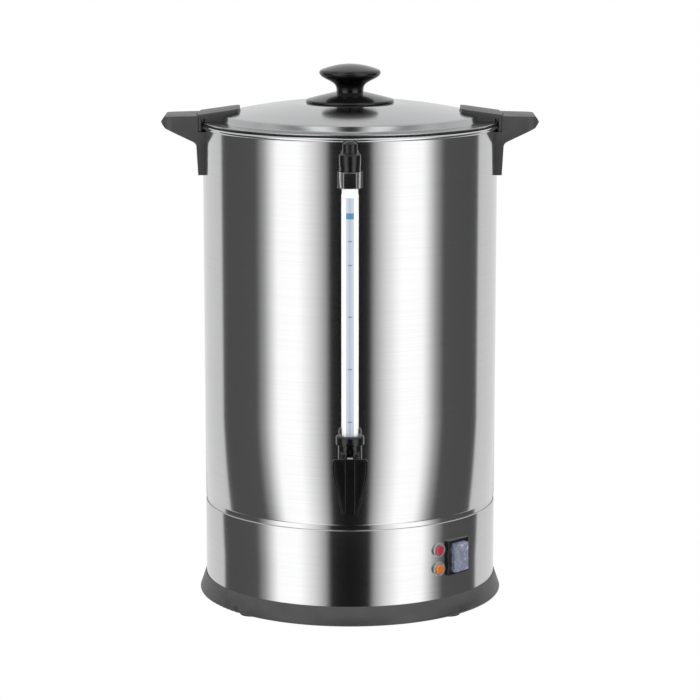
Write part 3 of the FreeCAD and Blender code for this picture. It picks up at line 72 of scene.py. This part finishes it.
lens_data = bpy.data.cameras.new("studio_camera")
lens_data.lens = LENS
lens_data.sensor_width = SENSOR_WIDTH
lens_data.clip_end = FAR_CLIP
camera = bpy.data.objects.new("studio_camera", lens_data)
bpy.context.scene.collection.objects.link(camera)
camera.location = CAMERA_SPOT
camera.rotation_euler = (math.pi / 2 - drop_angle(CAMERA_SPOT), 0.0, 0.0)
bpy.context.scene.camera = camera
bpy.context.scene.view_settings.view_transform = "Standard"
print("camera looks down by", round(math.degrees(drop_angle(CAMERA_SPOT)), 1), "degrees")

# %% [markdown]
# ## Nodes and colours
# Colours are picked as hex codes, as on a paint chart, but a shader works with linear light.
# One function converts them, and one adds a node with its settings and links, so each material
# stays short.

# %% Helpers for materials
NOISE_LOW = 0.3
NOISE_HIGH = 0.7
FIRST_COLOUR = 6
SECOND_COLOUR = 7
MIXED_COLOUR = 2


def linear(code):
    """The linear red, green and blue of a hex colour."""
    parts = [int(code[start:start + 2], 16) / 255 for start in (0, 2, 4)]
    return [part / 12.92 if part <= 0.04045 else ((part + 0.055) / 1.055) ** 2.4 for part in parts]


def colour(code):
    return (*linear(code), 1.0)


def add_node(tree, kind, inputs=None, **settings):
    """Adds a node. An input is given a socket to link from, or a plain value."""
    made = tree.nodes.new(kind)
    for name, value in settings.items():
        setattr(made, name, value)
    for name, value in (inputs or {}).items():
        if isinstance(value, bpy.types.NodeSocket):
            tree.links.new(value, made.inputs[name])
        else:
            made.inputs[name].default_value = value
    return made


def new_material(name, code, roughness, metallic=0.0, **inputs):
    """A material with one physical shader, and the two things that its patterns link to."""
    material = bpy.data.materials.new(name)
    material.use_nodes = True
    tree = material.node_tree
    tree.nodes.clear()
    values = {"Base Color": colour(code), "Roughness": roughness, "Metallic": metallic}
    values.update(inputs)
    shader = add_node(tree, "ShaderNodeBsdfPrincipled", values)
    add_node(tree, "ShaderNodeOutputMaterial", {"Surface": shader.outputs["BSDF"]})
    return material, tree, shader


def object_grain(tree, scale, detail=3.0):
    """Noise on object coordinates. The scale is given per metre along X, Y and Z."""
    place = add_node(tree, "ShaderNodeTexCoord")
    stretch = add_node(tree, "ShaderNodeMapping",
                       {"Vector": place.outputs["Object"], "Scale": scale})
    noise = add_node(tree, "ShaderNodeTexNoise",
                     {"Vector": stretch.outputs["Vector"], "Scale": 1.0, "Detail": detail})
    return noise.outputs["Fac"]


def ranged(tree, source, start, end, low=0.0, high=1.0):
    """Turns the values from start to end into the values from low to high."""
    made = add_node(tree, "ShaderNodeMapRange", {"Value": source, "From Min": start,
                                                 "From Max": end, "To Min": low, "To Max": high})
    return made.outputs["Result"]


def spread(tree, source, low, high):
    """Spreads noise, which lies mostly between two middling values, over a range of values."""
    return ranged(tree, source, NOISE_LOW, NOISE_HIGH, low, high)


def bump(tree, shader, height, depth):
    """A relief whose full depth is given in metres."""
    made = add_node(tree, "ShaderNodeBump", {"Height": height, "Distance": depth, "Strength": 1.0})
    tree.links.new(made.outputs["Normal"], shader.inputs["Normal"])


def tint(tree, shader, pattern, dark, light):
    """Lets the colour drift between two close shades."""
    mix = add_node(tree, "ShaderNodeMix", data_type="RGBA")
    tree.links.new(pattern, mix.inputs[0])
    mix.inputs[FIRST_COLOUR].default_value = colour(dark)
    mix.inputs[SECOND_COLOUR].default_value = colour(light)
    tree.links.new(mix.outputs[MIXED_COLOUR], shader.inputs["Base Color"])

# %% [markdown]
# ## Brushed stainless steel
# The tank and the skirt are rolled from sheet that was brushed along its length, so the grain
# runs around the body. A real scratch is about 0.05 mm wide, too fine for the picture, so it
# is drawn about 0.8 mm wide, and twice that on the lid and inside the tank. The grain spreads
# the gloss a little and leaves the tall reflections crisp at their sides.

# %% Steel
GRAIN_ALONG = 9.0
GRAIN_DEPTH = 0.001


def brushed_steel(name, dark, light, roughness, grain_width, shine_spread):
    material, tree, shader = new_material(name, light, roughness, 1.0)
    across = 1.0 / (grain_width * MM)
    grain = object_grain(tree, (GRAIN_ALONG, GRAIN_ALONG, across), 4.0)
    tint(tree, shader, spread(tree, grain, 0.0, 1.0), dark, light)
    shine = spread(tree, grain, roughness - shine_spread, roughness + shine_spread)
    tree.links.new(shine, shader.inputs["Roughness"])
    bump(tree, shader, grain, GRAIN_DEPTH * MM)
    return material


tank_steel = brushed_steel("brushed_stainless_steel", "CDCDCE", "D2D2D3", 0.12, 0.8, 0.012)
# The inside's steel is painted lighter than the tank's outside: painted light for the light
# scattered inside the tank.
inner_steel_painted_light = brushed_steel("satin_stainless_interior_painted_light", "E6E7E8", "EDEEEF", 0.5, 1.6, 0.04)
# The lid's steel is painted darker than the tank's: painted shade for the darker reflections that
# the lid shows.
lid_steel_painted_shade = brushed_steel("satin_stainless_lid_painted_shade", "AEAFB0", "B3B4B5", 0.17, 1.6, 0.02)

plated, plated_tree, plated_shader = new_material("zinc_plated_steel", "B4B6BA", 0.36, 1.0)
spangle = object_grain(plated_tree, (180.0, 180.0, 180.0))
tint(plated_tree, plated_shader, spread(plated_tree, spangle, 0.0, 1.0), "A6A9AE", "BCBEC2")
bump(plated_tree, plated_shader, spangle, 0.01 * MM)

chrome, chrome_tree, chrome_shader = new_material("polished_chrome", "F0F0F1", 0.1, 1.0)
haze = object_grain(chrome_tree, (400.0, 400.0, 400.0))
chrome_tree.links.new(spread(chrome_tree, haze, 0.08, 0.12), chrome_shader.inputs["Roughness"])

brass, brass_tree, brass_shader = new_material("drawn_brass", "C9A76A", 0.3, 1.0)
drawn_grain = object_grain(brass_tree, (300.0,) * 3)
tint(brass_tree, brass_shader, spread(brass_tree, drawn_grain, 0.0, 1.0), "BE9A5C", "CFAE74")

heater_metal, heater_tree, heater_shader = new_material(
    "annealed_sheath_steel", "7E776F", 0.45, 1.0)
scale_marks = object_grain(heater_tree, (90.0,) * 3)
tint(heater_tree, heater_shader, spread(heater_tree, scale_marks, 0.0, 1.0), "6A5F57", "8C8680")

cast, cast_tree, cast_shader = new_material("cast_aluminium", "C9CACC", 0.42, 1.0)
bump(cast_tree, cast_shader, object_grain(cast_tree, (700.0,) * 3), 0.03 * MM)

# %% [markdown]
# ## Mouldings
# Handles, ears and the base ring are moulded nylon with a fine spark-eroded texture of about
# 0.6 mm, which breaks up the gloss. The knob, its disc and the switch came out of polished
# moulds, so their surface is smooth and mirrors the lights. The tap's parts lie in between.

# %% Plastics and rubbers
COLOUR_DRIFT = 45.0
GLOSS_DRIFT = 0.05


def moulded(name, dark, light, roughness, texture_width, texture_depth):
    material, tree, shader = new_material(name, light, roughness, IOR=1.5)
    fine = object_grain(tree, (1.0 / (texture_width * MM),) * 3, 2.0)
    broad = object_grain(tree, (COLOUR_DRIFT,) * 3, 2.0)
    tint(tree, shader, spread(tree, broad, 0.0, 1.0), dark, light)
    gloss = spread(tree, fine, roughness - GLOSS_DRIFT, roughness + GLOSS_DRIFT)
    tree.links.new(gloss, shader.inputs["Roughness"])
    bump(tree, shader, fine, texture_depth * MM)
    return material


textured_nylon = moulded("textured_grey_nylon", "2E2E2F", "353536", 0.46, 0.6, 0.02)
ring_nylon = moulded("satin_grey_nylon", "313132", "393939", 0.42, 0.7, 0.015)
satin_black = moulded("satin_black_nylon", "08080A", "0C0C0D", 0.2, 0.7, 0.01)
gloss_black = moulded("glossy_black_phenolic", "0A0A0B", "0E0E10", 0.14, 2.5, 0.004)
switch_black = moulded("glossy_black_polycarbonate", "101012", "161618", 0.22, 1.2, 0.005)
ivory = moulded("ivory_polyamide", "CFC8B4", "D8D2C0", 0.45, 0.8, 0.01)
rubber = moulded("black_rubber", "17171A", "1E1E20", 0.7, 0.8, 0.03)
red_silicone = moulded("red_silicone", "8C2A1C", "9A3324", 0.55, 1.0, 0.01)
sleeve = moulded("silicone_sleeve", "A89C8C", "B5AA9A", 0.6, 0.8, 0.01)

# %% [markdown]
# ## The gauge's colours
# Seen through its thick wall the gauge tube looks white, with a pale blue-grey core where the
# bore is. A fine line runs down the core, short marks cross it, and one blue mark shows the
# full level. All of it is drawn from the object's own coordinates: across by the distance from
# the middle, along by the height.

# %% Gauge colours
CORE_HALF_WIDTH = 3.5
LINE_HALF_WIDTH = 0.35
CORE_TOP = 391.0
MARK_HEIGHTS = (193.0, 240.0, 286.5, 332.0, 353.0)
MARK_HALF_HEIGHT = 0.6
FULL_HEIGHT = 375.0
FULL_HALF_HEIGHT = 2.6


def near(tree, source, middle, half_width):
    """One where the source lies within half a width, in millimetres, of the middle, else zero."""
    made = add_node(tree, "ShaderNodeMath", {0: source, 1: middle * MM, 2: half_width * MM},
                    operation="COMPARE")
    return made.outputs[0]


def joined(tree, first, second, operation):
    return add_node(tree, "ShaderNodeMath", {0: first, 1: second}, operation=operation).outputs[0]


def painted(tree, ground, mask, code):
    mix = add_node(tree, "ShaderNodeMix", data_type="RGBA")
    tree.links.new(mask, mix.inputs[0])
    tree.links.new(ground, mix.inputs[FIRST_COLOUR])
    mix.inputs[SECOND_COLOUR].default_value = colour(code)
    return mix.outputs[MIXED_COLOUR]


def gauge_colours(tree, shader, ground_code):
    place = add_node(tree, "ShaderNodeTexCoord")
    axes = add_node(tree, "ShaderNodeSeparateXYZ", {"Vector": place.outputs["Object"]})
    across, along = axes.outputs["X"], axes.outputs["Z"]
    ground = add_node(tree, "ShaderNodeRGB")
    ground.outputs[0].default_value = colour(ground_code)
    below_top = add_node(tree, "ShaderNodeMath", {0: along, 1: CORE_TOP * MM},
                         operation="LESS_THAN")
    core = joined(tree, near(tree, across, 0.0, CORE_HALF_WIDTH), below_top.outputs[0], "MULTIPLY")
    marks = near(tree, along, MARK_HEIGHTS[0], MARK_HALF_HEIGHT)
    for height in MARK_HEIGHTS[1:]:
        marks = joined(tree, marks, near(tree, along, height, MARK_HALF_HEIGHT), "MAXIMUM")
    line = joined(tree, near(tree, across, 0.0, LINE_HALF_WIDTH), core, "MULTIPLY")
    marks = joined(tree, marks, near(tree, across, 0.0, CORE_HALF_WIDTH / 2), "MULTIPLY")
    full = joined(tree, near(tree, along, FULL_HEIGHT, FULL_HALF_HEIGHT), core, "MULTIPLY")
    drawn = painted(tree, ground.outputs[0], core, "B2BAC6")
    drawn = painted(tree, drawn, line, "9CA6B4")
    drawn = painted(tree, drawn, marks, "7C8898")
    drawn = painted(tree, drawn, full, "4F7FA4")
    tree.links.new(drawn, shader.inputs["Base Color"])


strip, strip_tree, strip_shader = new_material("white_enamel_strip", "F4F6F7", 0.3)
gauge_colours(strip_tree, strip_shader, "F4F6F7")

# %% [markdown]
# ## Clear and coloured parts
# The gauge tube is glass that carries the colours of the gauge in its wall. The lamp lenses
# are tinted polycarbonate, and the hood over the rocker is a thin soft film that wrinkles.

# %% Glass, lenses and hood
glass, glass_tree, glass_shader = new_material(
    "borosilicate_glass", "F7FAFC", 0.03, IOR=1.47, **{"Transmission Weight": 0.25})
gauge_colours(glass_tree, glass_shader, "FCFDFE")
glass_tree.links.new(spread(glass_tree, object_grain(glass_tree, (60.0,) * 3), 0.015, 0.05),
                     glass_shader.inputs["Roughness"])


def lens_material(name, code):
    material, tree, shader = new_material(
        name, code, 0.12, IOR=1.58, **{"Transmission Weight": 0.45, "Coat Weight": 1.0})
    bump(tree, shader, object_grain(tree, (500.0,) * 3), 0.02 * MM)
    return material


red_lens = lens_material("red_polycarbonate", "A3142E")
amber_lens = lens_material("amber_polycarbonate", "C86A12")

film, film_tree, film_shader = new_material(
    "clear_soft_vinyl", "C9D0EA", 0.08, IOR=1.45,
    **{"Transmission Weight": 0.86, "Coat Weight": 1.0, "Coat Roughness": 0.05})
WRINKLE_DEPTH = 3.5
wrinkle = object_grain(film_tree, (210.0,) * 3, 1.0)
bump(film_tree, film_shader, wrinkle, WRINKLE_DEPTH * MM)

# %% [markdown]
# ## Giving each solid its finish
# Every solid gets the material of the real piece, also the ones inside the base and the tap,
# because they show when the model is taken apart.

# %% Finishes
FINISHES = [
    (tank_steel, ["tank", "tank_floor", "skirt"]),
    (lid_steel_painted_shade, ["lid_dome", "lid_locating_ring"]),
    (plated, ["bottom_cover", "base_screws", "handle_screws", "ear_screws", "knob_washer",
              "knob_screw", "lamp_nuts", "lamp_bezels", "tap_stem", "lever_pin",
              "tap_spring"]),
    (chrome, ["gauge_nut"]),
    (brass, ["handle_inserts", "switch_terminals"]),
    (heater_metal, ["boil_element", "keep_warm_element"]),
    (cast, ["heater_plate", "boil_thermostat", "keep_warm_thermostat", "dry_boil_cutout"]),
    (textured_nylon, ["handle_left", "handle_right", "lid_ear_left", "lid_ear_right"]),
    (ring_nylon, ["base_ring"]),
    (satin_black, ["gauge_tee", "tee_locknut", "gauge_top_fitting", "gauge_top_locknut",
                   "gauge_lower_nut", "tap_body", "tap_bonnet", "tap_lever", "cord_gland",
                   "gland_locknut"]),
    (gloss_black, ["knob", "knob_base"]),
    (switch_black, ["switch_housing", "switch_rocker"]),
    (ivory, ["terminal_block"]),
    (rubber, ["rubber_feet", "handle_screw_seals", "lid_seal", "tee_seals", "gauge_top_seals",
              "gauge_seals"]),
    (red_silicone, ["valve_plug"]),
    (sleeve, ["inner_leads"]),
    (glass, ["gauge_tube"]),
    (red_lens, ["heating_lamp_lens"]),
    (amber_lens, ["keep_warm_lamp_lens"]),
    (film, ["switch_splash_cover"]),
    (strip, ["gauge_stripe"]),
]
finish_of = {name: material for material, names in FINISHES for name in names}
for name, solid in nodes.items():
    solid.data.materials.clear()
    solid.data.materials.append(finish_of[name])
print("finished solids:", len(finish_of))

# %% [markdown]
# ## Turned pieces
# The tank, the skirt, the lid and the knob are round. A lathe's way of making them is to draw
# half of the section and turn it. Here a circle is extruded from ring to ring along the
# section, and each new ring is scaled to its radius. That gives even quads all round, so the
# long reflections stay straight.

# %% Helpers for turned pieces
SMOOTH_BELOW = math.radians(32)
RING_MERGE = 0.002


def arc(centre_radius, centre_height, radius, first, last, count):
    """Points of the section along an arc, from the first angle to the last in degrees."""
    points = []
    for step in range(count + 1):
        angle = math.radians(first + (last - first) * step / count)
        points.append((centre_radius + radius * math.cos(angle),
                       centre_height + radius * math.sin(angle)))
    return points


def turned(name, section, steps, cap_start=False):
    """Extrudes a circle along a section of (radius, height) points in millimetres."""
    bpy.ops.object.select_all(action="DESELECT")
    radius, height = section[0]
    bpy.ops.mesh.primitive_circle_add(vertices=steps, radius=radius * MM,
                                      location=(0, 0, height * MM))
    piece = bpy.context.object
    piece.name = name
    bpy.ops.object.transform_apply(location=True, rotation=True, scale=True)
    bpy.ops.object.mode_set(mode="EDIT")
    bpy.ops.mesh.select_all(action="SELECT")
    if cap_start:
        bpy.ops.mesh.edge_face_add()
        bpy.ops.mesh.select_all(action="SELECT")
    for next_radius, next_height in section[1:]:
        rise = (next_height - height) * MM
        bpy.ops.mesh.extrude_region_move(TRANSFORM_OT_translate={"value": (0, 0, rise)})
        shrink = next_radius / radius
        bpy.ops.transform.resize(value=(shrink, shrink, 1.0),
                                 center_override=(0, 0, next_height * MM))
        radius, height = next_radius, next_height
    bpy.ops.mesh.select_all(action="SELECT")
    bpy.ops.mesh.remove_doubles(threshold=RING_MERGE * MM)
    bpy.ops.mesh.normals_make_consistent(inside=False)
    bpy.ops.object.mode_set(mode="OBJECT")
    bpy.ops.object.shade_smooth_by_angle(angle=SMOOTH_BELOW)
    return piece


def dress(piece, material, body, *replaced):
    piece.data.materials.clear()
    piece.data.materials.append(material)
    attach(piece, body)
    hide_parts(*replaced)
    print(piece.name, "has", len(piece.data.polygons), "faces")

# %% [markdown]
# ## Tank
# The tank has a spigot at the foot that slides into the skirt, a straight wall, and a rim
# rolled outwards into a bead. Its floor is welded in and the weld is ground smooth, so one
# shell shows both. The inside keeps the dull finish of the sheet, and its steel is painted
# lighter than the outside's: painted light for the light that falls in and scatters.

# %% Tank
WALL = 135.0
STEPS = 256
tank_section = [(132.9, 98.0), (132.9, 80.0), (133.9, 80.0), (133.9, 93.9), (134.2, 94.2),
                (134.75, 94.45), (WALL, 94.9), (WALL, 180.0), (WALL, 300.0), (WALL, 420.0)]
tank_section += arc(134.7, 438.9, 2.1, -81.8, 250.5, 24)
tank_section += [(134.0, 300.0), (134.0, 103.0)]
tank_section += arc(131.0, 102.2, 3.0, 0, -90, 6) + [(0.0, 99.2)]
tank_piece = turned("tank_shell", tank_section, STEPS, cap_start=True)
dress(tank_piece, tank_steel, "vessel", "tank", "tank_floor")

# The faces inside the tank take the steel that is painted lighter, as painted light.
INSIDE_RADIUS = 134.1
INSIDE_FROM = 98.5
INSIDE_TO = 436.0
tank_piece.data.materials.append(inner_steel_painted_light)
inside_slot = len(tank_piece.data.materials) - 1
for face in tank_piece.data.polygons:
    x, y, z = (value / MM for value in face.center)
    if math.hypot(x, y) < INSIDE_RADIUS and INSIDE_FROM < z < INSIDE_TO:
        face.material_index = inside_slot

# %% [markdown]
# ## Skirt
# The skirt hides the heater. Its top edge is rolled round and catches the light as a bright
# line under the dark groove.

# %% Skirt
skirt_section = [(118.0, 12.0), (WALL, 12.0), (WALL, 50.0)]
skirt_section += arc(134.5, 89.0, 0.5, 0, 180, 6) + [(134.0, 13.0), (118.0, 13.0), (118.0, 12.0)]
skirt_piece = turned("skirt_band", skirt_section, STEPS)
dress(skirt_piece, tank_steel, "vessel", "skirt")

# %% [markdown]
# ## Lid
# The lid is pressed from one disc: a flat seat for the knob, a shallow dome, a step down and a
# flange with a hemmed edge. The bends of a pressing are never sharp, so each is a small arc.

# %% Lid
DOME_CENTRE = -63.0
DOME_RADIUS = 525.0


def dome(radius, below=0.0):
    """A point of the dome's surface, or of a surface below it."""
    return (radius, DOME_CENTRE + math.sqrt((DOME_RADIUS - below) ** 2 - radius ** 2))


lid_section = [(51.2, 458.7), dome(75.0, 0.8), dome(100.0, 0.8), dome(114.6, 0.8), (118.2, 442.7),
               (134.4, 442.7), (134.4, 442.2), (135.9, 442.2)]
lid_section += arc(135.7, 442.9, 0.7, -60, 60, 5)
lid_section += [(135.4, 443.5), (121.0, 443.5), (119.9, 443.75)]
lid_section += [(119.2, 444.4), (116.9, 448.2), (116.4, 448.75), (115.6, 449.1)]
lid_section += [dome(radius) for radius in (113.0, 100.0, 85.0, 70.0, 58.0)]
lid_section += [(52.5, 459.42), (50.0, 459.5), (0.0, 459.5)]
lid_piece = turned("lid_pressing", lid_section, STEPS, cap_start=True)
# The lid's pressing takes the steel that is painted darker, as painted shade.
dress(lid_piece, lid_steel_painted_shade, "lid", "lid_dome")

# %% [markdown]
# ## Knob and its disc
# The knob flares from a narrow neck to a rounded head with a slightly domed top. The disc
# under it keeps the fingers off the hot lid. Both are turned from smooth sections with close
# points along the curves.

# %% Knob
KNOB_TOP = 494.5
KNOB_CROWN = 66.2
KNOB_STEPS = 128
DISC_STEPS = 160
knob_section = [(12.4, 468.5), (12.4, 470.5), (12.6, 472.6), (13.1, 474.4), (14.1, 475.9),
                (16.0, 477.4), (19.0, 479.1), (22.5, 480.9), (25.2, 482.4), (26.9, 483.8),
                (27.9, 485.2), (28.2, 486.5), (27.9, 487.8), (27.0, 488.8), (25.6, 489.5)]
knob_section += [(radius, KNOB_TOP - radius ** 2 / (2 * KNOB_CROWN))
                 for radius in (23.5, 20, 15, 10, 5)]
knob_section += [(0.0, KNOB_TOP)]
knob_piece = turned("knob_moulding", knob_section, KNOB_STEPS, cap_start=True)
dress(knob_piece, gloss_black, "lid", "knob")

disc_section = [(39.8, 459.5), (40.3, 460.0), (40.3, 461.3), (39.9, 462.0), (39.0, 462.4),
                (28.0, 465.3), (15.0, 468.5), (0.0, 468.5)]
disc_piece = turned("knob_shield", disc_section, DISC_STEPS, cap_start=True)
dress(disc_piece, gloss_black, "lid", "knob_base")

# %% [markdown]
# ## Softened edges
# A moulding or a machined nut never has a knife edge: each edge has a small radius that
# catches a thin line of light. A copy of the solid is merged, its flat faces are joined again,
# and a bevel modifier rounds whatever is sharper than 30 degrees.

# %% Copies with rounded edges
COPY_MERGE = 0.001
FLAT_BELOW = math.radians(0.4)
SHARP_ABOVE = math.radians(30)
ROUNDING_STEPS = 3


def merged_copy(node_name, name, flatten):
    """A copy of a solid with doubled points merged and, if asked, its flat faces joined."""
    bpy.ops.object.select_all(action="DESELECT")
    piece = bpy.data.objects.new(name, nodes[node_name].data.copy())
    bpy.context.scene.collection.objects.link(piece)
    bpy.context.view_layer.objects.active = piece
    piece.select_set(True)
    bpy.ops.object.mode_set(mode="EDIT")
    bpy.ops.mesh.select_all(action="SELECT")
    bpy.ops.mesh.remove_doubles(threshold=COPY_MERGE * MM)
    if flatten:
        bpy.ops.mesh.dissolve_limited(angle_limit=FLAT_BELOW)
    bpy.ops.object.mode_set(mode="OBJECT")
    return piece


def softened(node_name, width, body, name):
    """A copy of a solid with its sharp edges rounded by a width in millimetres."""
    piece = merged_copy(node_name, name, flatten=True)
    rounding = piece.modifiers.new("rounding", "BEVEL")
    rounding.width = width * MM
    rounding.segments = ROUNDING_STEPS
    rounding.limit_method = "ANGLE"
    rounding.angle_limit = SHARP_ABOVE
    bpy.ops.object.modifier_apply(modifier="rounding")
    bpy.ops.object.shade_smooth_by_angle(angle=SMOOTH_BELOW)
    dress(piece, finish_of[node_name], body, node_name)


SOFT_EDGES = [
    # (node, width of the rounding, body, piece name)
    ("handle_right", 2.2, "vessel", "handle_moulding_right"),
    ("handle_left", 2.2, "vessel", "handle_moulding_left"),
    ("lid_ear_right", 0.9, "lid", "ear_moulding_right"),
    ("lid_ear_left", 0.9, "lid", "ear_moulding_left"),
    ("tap_lever", 0.35, "tap_lever", "lever_moulding"),
    ("switch_housing", 0.5, "vessel", "switch_case_moulding"),
    ("switch_rocker", 0.4, "switch_rocker", "rocker_moulding"),
    ("gauge_nut", 0.45, "vessel", "gauge_nut_machined"),
    ("gauge_lower_nut", 0.4, "vessel", "gauge_lower_nut_moulding"),
    ("gauge_top_fitting", 0.3, "vessel", "gauge_top_moulding"),
    ("tap_bonnet", 0.3, "vessel", "bonnet_moulding"),
    ("lamp_bezels", 0.3, "vessel", "lamp_bezels_spun"),
    ("cord_gland", 0.5, "vessel", "gland_moulding"),
    ("rubber_feet", 0.4, "vessel", "feet_moulding"),
    ("base_ring", 0.25, "vessel", "base_ring_moulding"),
]
for node_name, width, body, name in SOFT_EDGES:
    softened(node_name, width, body, name)

# %% [markdown]
# ## Return spring
# The spring in the tap stands between a flange of the stem and the roof of the bonnet. When
# the stem lifts by 3 mm the spring's top stays and its foot comes up, so the real spring
# shortens by that much; this piece keeps its length.

# %% Return spring
coil = merged_copy("tap_spring", "return_spring", flatten=False)
bpy.ops.object.shade_smooth_by_angle(angle=SMOOTH_BELOW)
dress(coil, plated, "vessel", "tap_spring")
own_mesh(coil)

# %% [markdown]
# ## Floor, light and surroundings
# Polished steel shows its surroundings, so a studio photograph of it is lit by what it
# mirrors: a bright panel to each side of the camera, darkness between and beyond them, and a
# pale room behind. The world is painted by direction to give these panels, with a pale ceiling
# at the back and a glow above the horizon that lights the lid. The camera itself sees plain
# white.

# %% Surroundings
PANELS = [
    # (degrees away from the camera's side, brightness)
    (0, 0.008), (15, 0.014), (19, 0.3), (27, 0.62), (40, 1.0), (58, 0.98), (70, 0.3), (78, 0.07),
    (112, 0.065), (118, 0.085), (120, 0.5), (180, 0.55),
]
WORLD_STRENGTH = 1.6
LIFTED = 0.55
CEILING_RISE = (0.35, 0.7)
CEILING_BEHIND = (-0.25, 0.1)
GLOW_RISE = (0.08, 0.2)
GLOW_END = (0.6, 0.75)

world = bpy.data.worlds.new("studio")
bpy.context.scene.world = world
world.use_nodes = True
sky = world.node_tree
sky.nodes.clear()
direction = add_node(sky, "ShaderNodeTexCoord")
axes = add_node(sky, "ShaderNodeSeparateXYZ", {"Vector": direction.outputs["Generated"]})
forward = add_node(sky, "ShaderNodeMath", {0: axes.outputs["Y"], 1: -1.0}, operation="MULTIPLY")
around = add_node(sky, "ShaderNodeMath", {0: axes.outputs["X"], 1: forward.outputs[0]},
                  operation="ARCTAN2")
away = add_node(sky, "ShaderNodeMath", {0: around.outputs[0]}, operation="ABSOLUTE")
share = add_node(sky, "ShaderNodeMath", {0: away.outputs[0], 1: math.pi}, operation="DIVIDE")
ramp = add_node(sky, "ShaderNodeValToRGB", {"Fac": share.outputs[0]})
stops = ramp.color_ramp.elements
for number, (degrees, brightness) in enumerate(PANELS):
    spot = degrees / 180
    stop = stops[number] if number < 2 else stops.new(spot)
    stop.position = spot
    stop.color = (brightness, brightness, brightness, 1.0)
high = ranged(sky, axes.outputs["Z"], *CEILING_RISE)
behind = ranged(sky, axes.outputs["Y"], *CEILING_BEHIND)
ceiling = add_node(sky, "ShaderNodeMath", {0: high, 1: behind}, operation="MULTIPLY")
rising = ranged(sky, axes.outputs["Z"], *GLOW_RISE)
falling = ranged(sky, axes.outputs["Z"], *GLOW_END, 1.0, 0.0)
glow = add_node(sky, "ShaderNodeMath", {0: rising, 1: falling}, operation="MULTIPLY")
bright = add_node(sky, "ShaderNodeMath", {0: ceiling.outputs[0], 1: glow.outputs[0]},
                  operation="MAXIMUM")
lift = add_node(sky, "ShaderNodeMix", data_type="RGBA")
sky.links.new(bright.outputs[0], lift.inputs[0])
sky.links.new(ramp.outputs["Color"], lift.inputs[FIRST_COLOUR])
lift.inputs[SECOND_COLOUR].default_value = (LIFTED, LIFTED, LIFTED, 1.0)
room = add_node(sky, "ShaderNodeBackground", {"Color": lift.outputs[MIXED_COLOUR],
                                              "Strength": WORLD_STRENGTH})
plain = add_node(sky, "ShaderNodeBackground", {"Color": (1.0, 1.0, 1.0, 1.0), "Strength": 1.0})
rays = add_node(sky, "ShaderNodeLightPath")
choice = add_node(sky, "ShaderNodeMixShader", {0: rays.outputs["Is Camera Ray"],
                                               1: room.outputs[0], 2: plain.outputs[0]})
add_node(sky, "ShaderNodeOutputWorld", {"Surface": choice.outputs[0]})

# %% [markdown]
# A wide pale sheet under the urn throws soft light up at it. It shows neither to the camera
# nor in mirror reflections, as if the urn stood on white in a large room. One wide lamp hangs
# overhead and one stands above the camera. Both are soft boxes that light the mouldings but
# leave the steel's picture alone.

# %% Floor and lamps
FLOOR_SIZE = 12.0
FRONT_SPOT = (0.0, -2.2, 1.1)
LAMPS = [
    # (name, power in watts, size, place, tip from straight down)
    ("overhead_lamp", 95.0, 3.0, (0.0, -0.3, 2.6), 0.0),
    ("front_lamp", 17.0, 1.2, FRONT_SPOT, math.pi / 2 - drop_angle(FRONT_SPOT)),
]

bpy.ops.object.select_all(action="DESELECT")
bpy.ops.mesh.primitive_grid_add(x_subdivisions=4, y_subdivisions=4, size=FLOOR_SIZE)
floor = bpy.context.object
floor.name = "floor"
paper, paper_tree, paper_shader = new_material("white_paper", "F7F7F7", 0.9)
tint(paper_tree, paper_shader, spread(paper_tree, object_grain(paper_tree, (2.0,) * 3), 0.0, 1.0),
     "F5F5F5", "F9F9F9")
floor.data.materials.append(paper)
floor.visible_glossy = False
floor.visible_camera = False

for name, power, size, spot, tip in LAMPS:
    lamp_data = bpy.data.lights.new(name, "AREA")
    lamp_data.energy = power
    lamp_data.size = size
    lamp = bpy.data.objects.new(name, lamp_data)
    lamp.location = spot
    lamp.rotation_euler = (tip, 0.0, 0.0)
    lamp.visible_glossy = False
    bpy.context.scene.collection.objects.link(lamp)
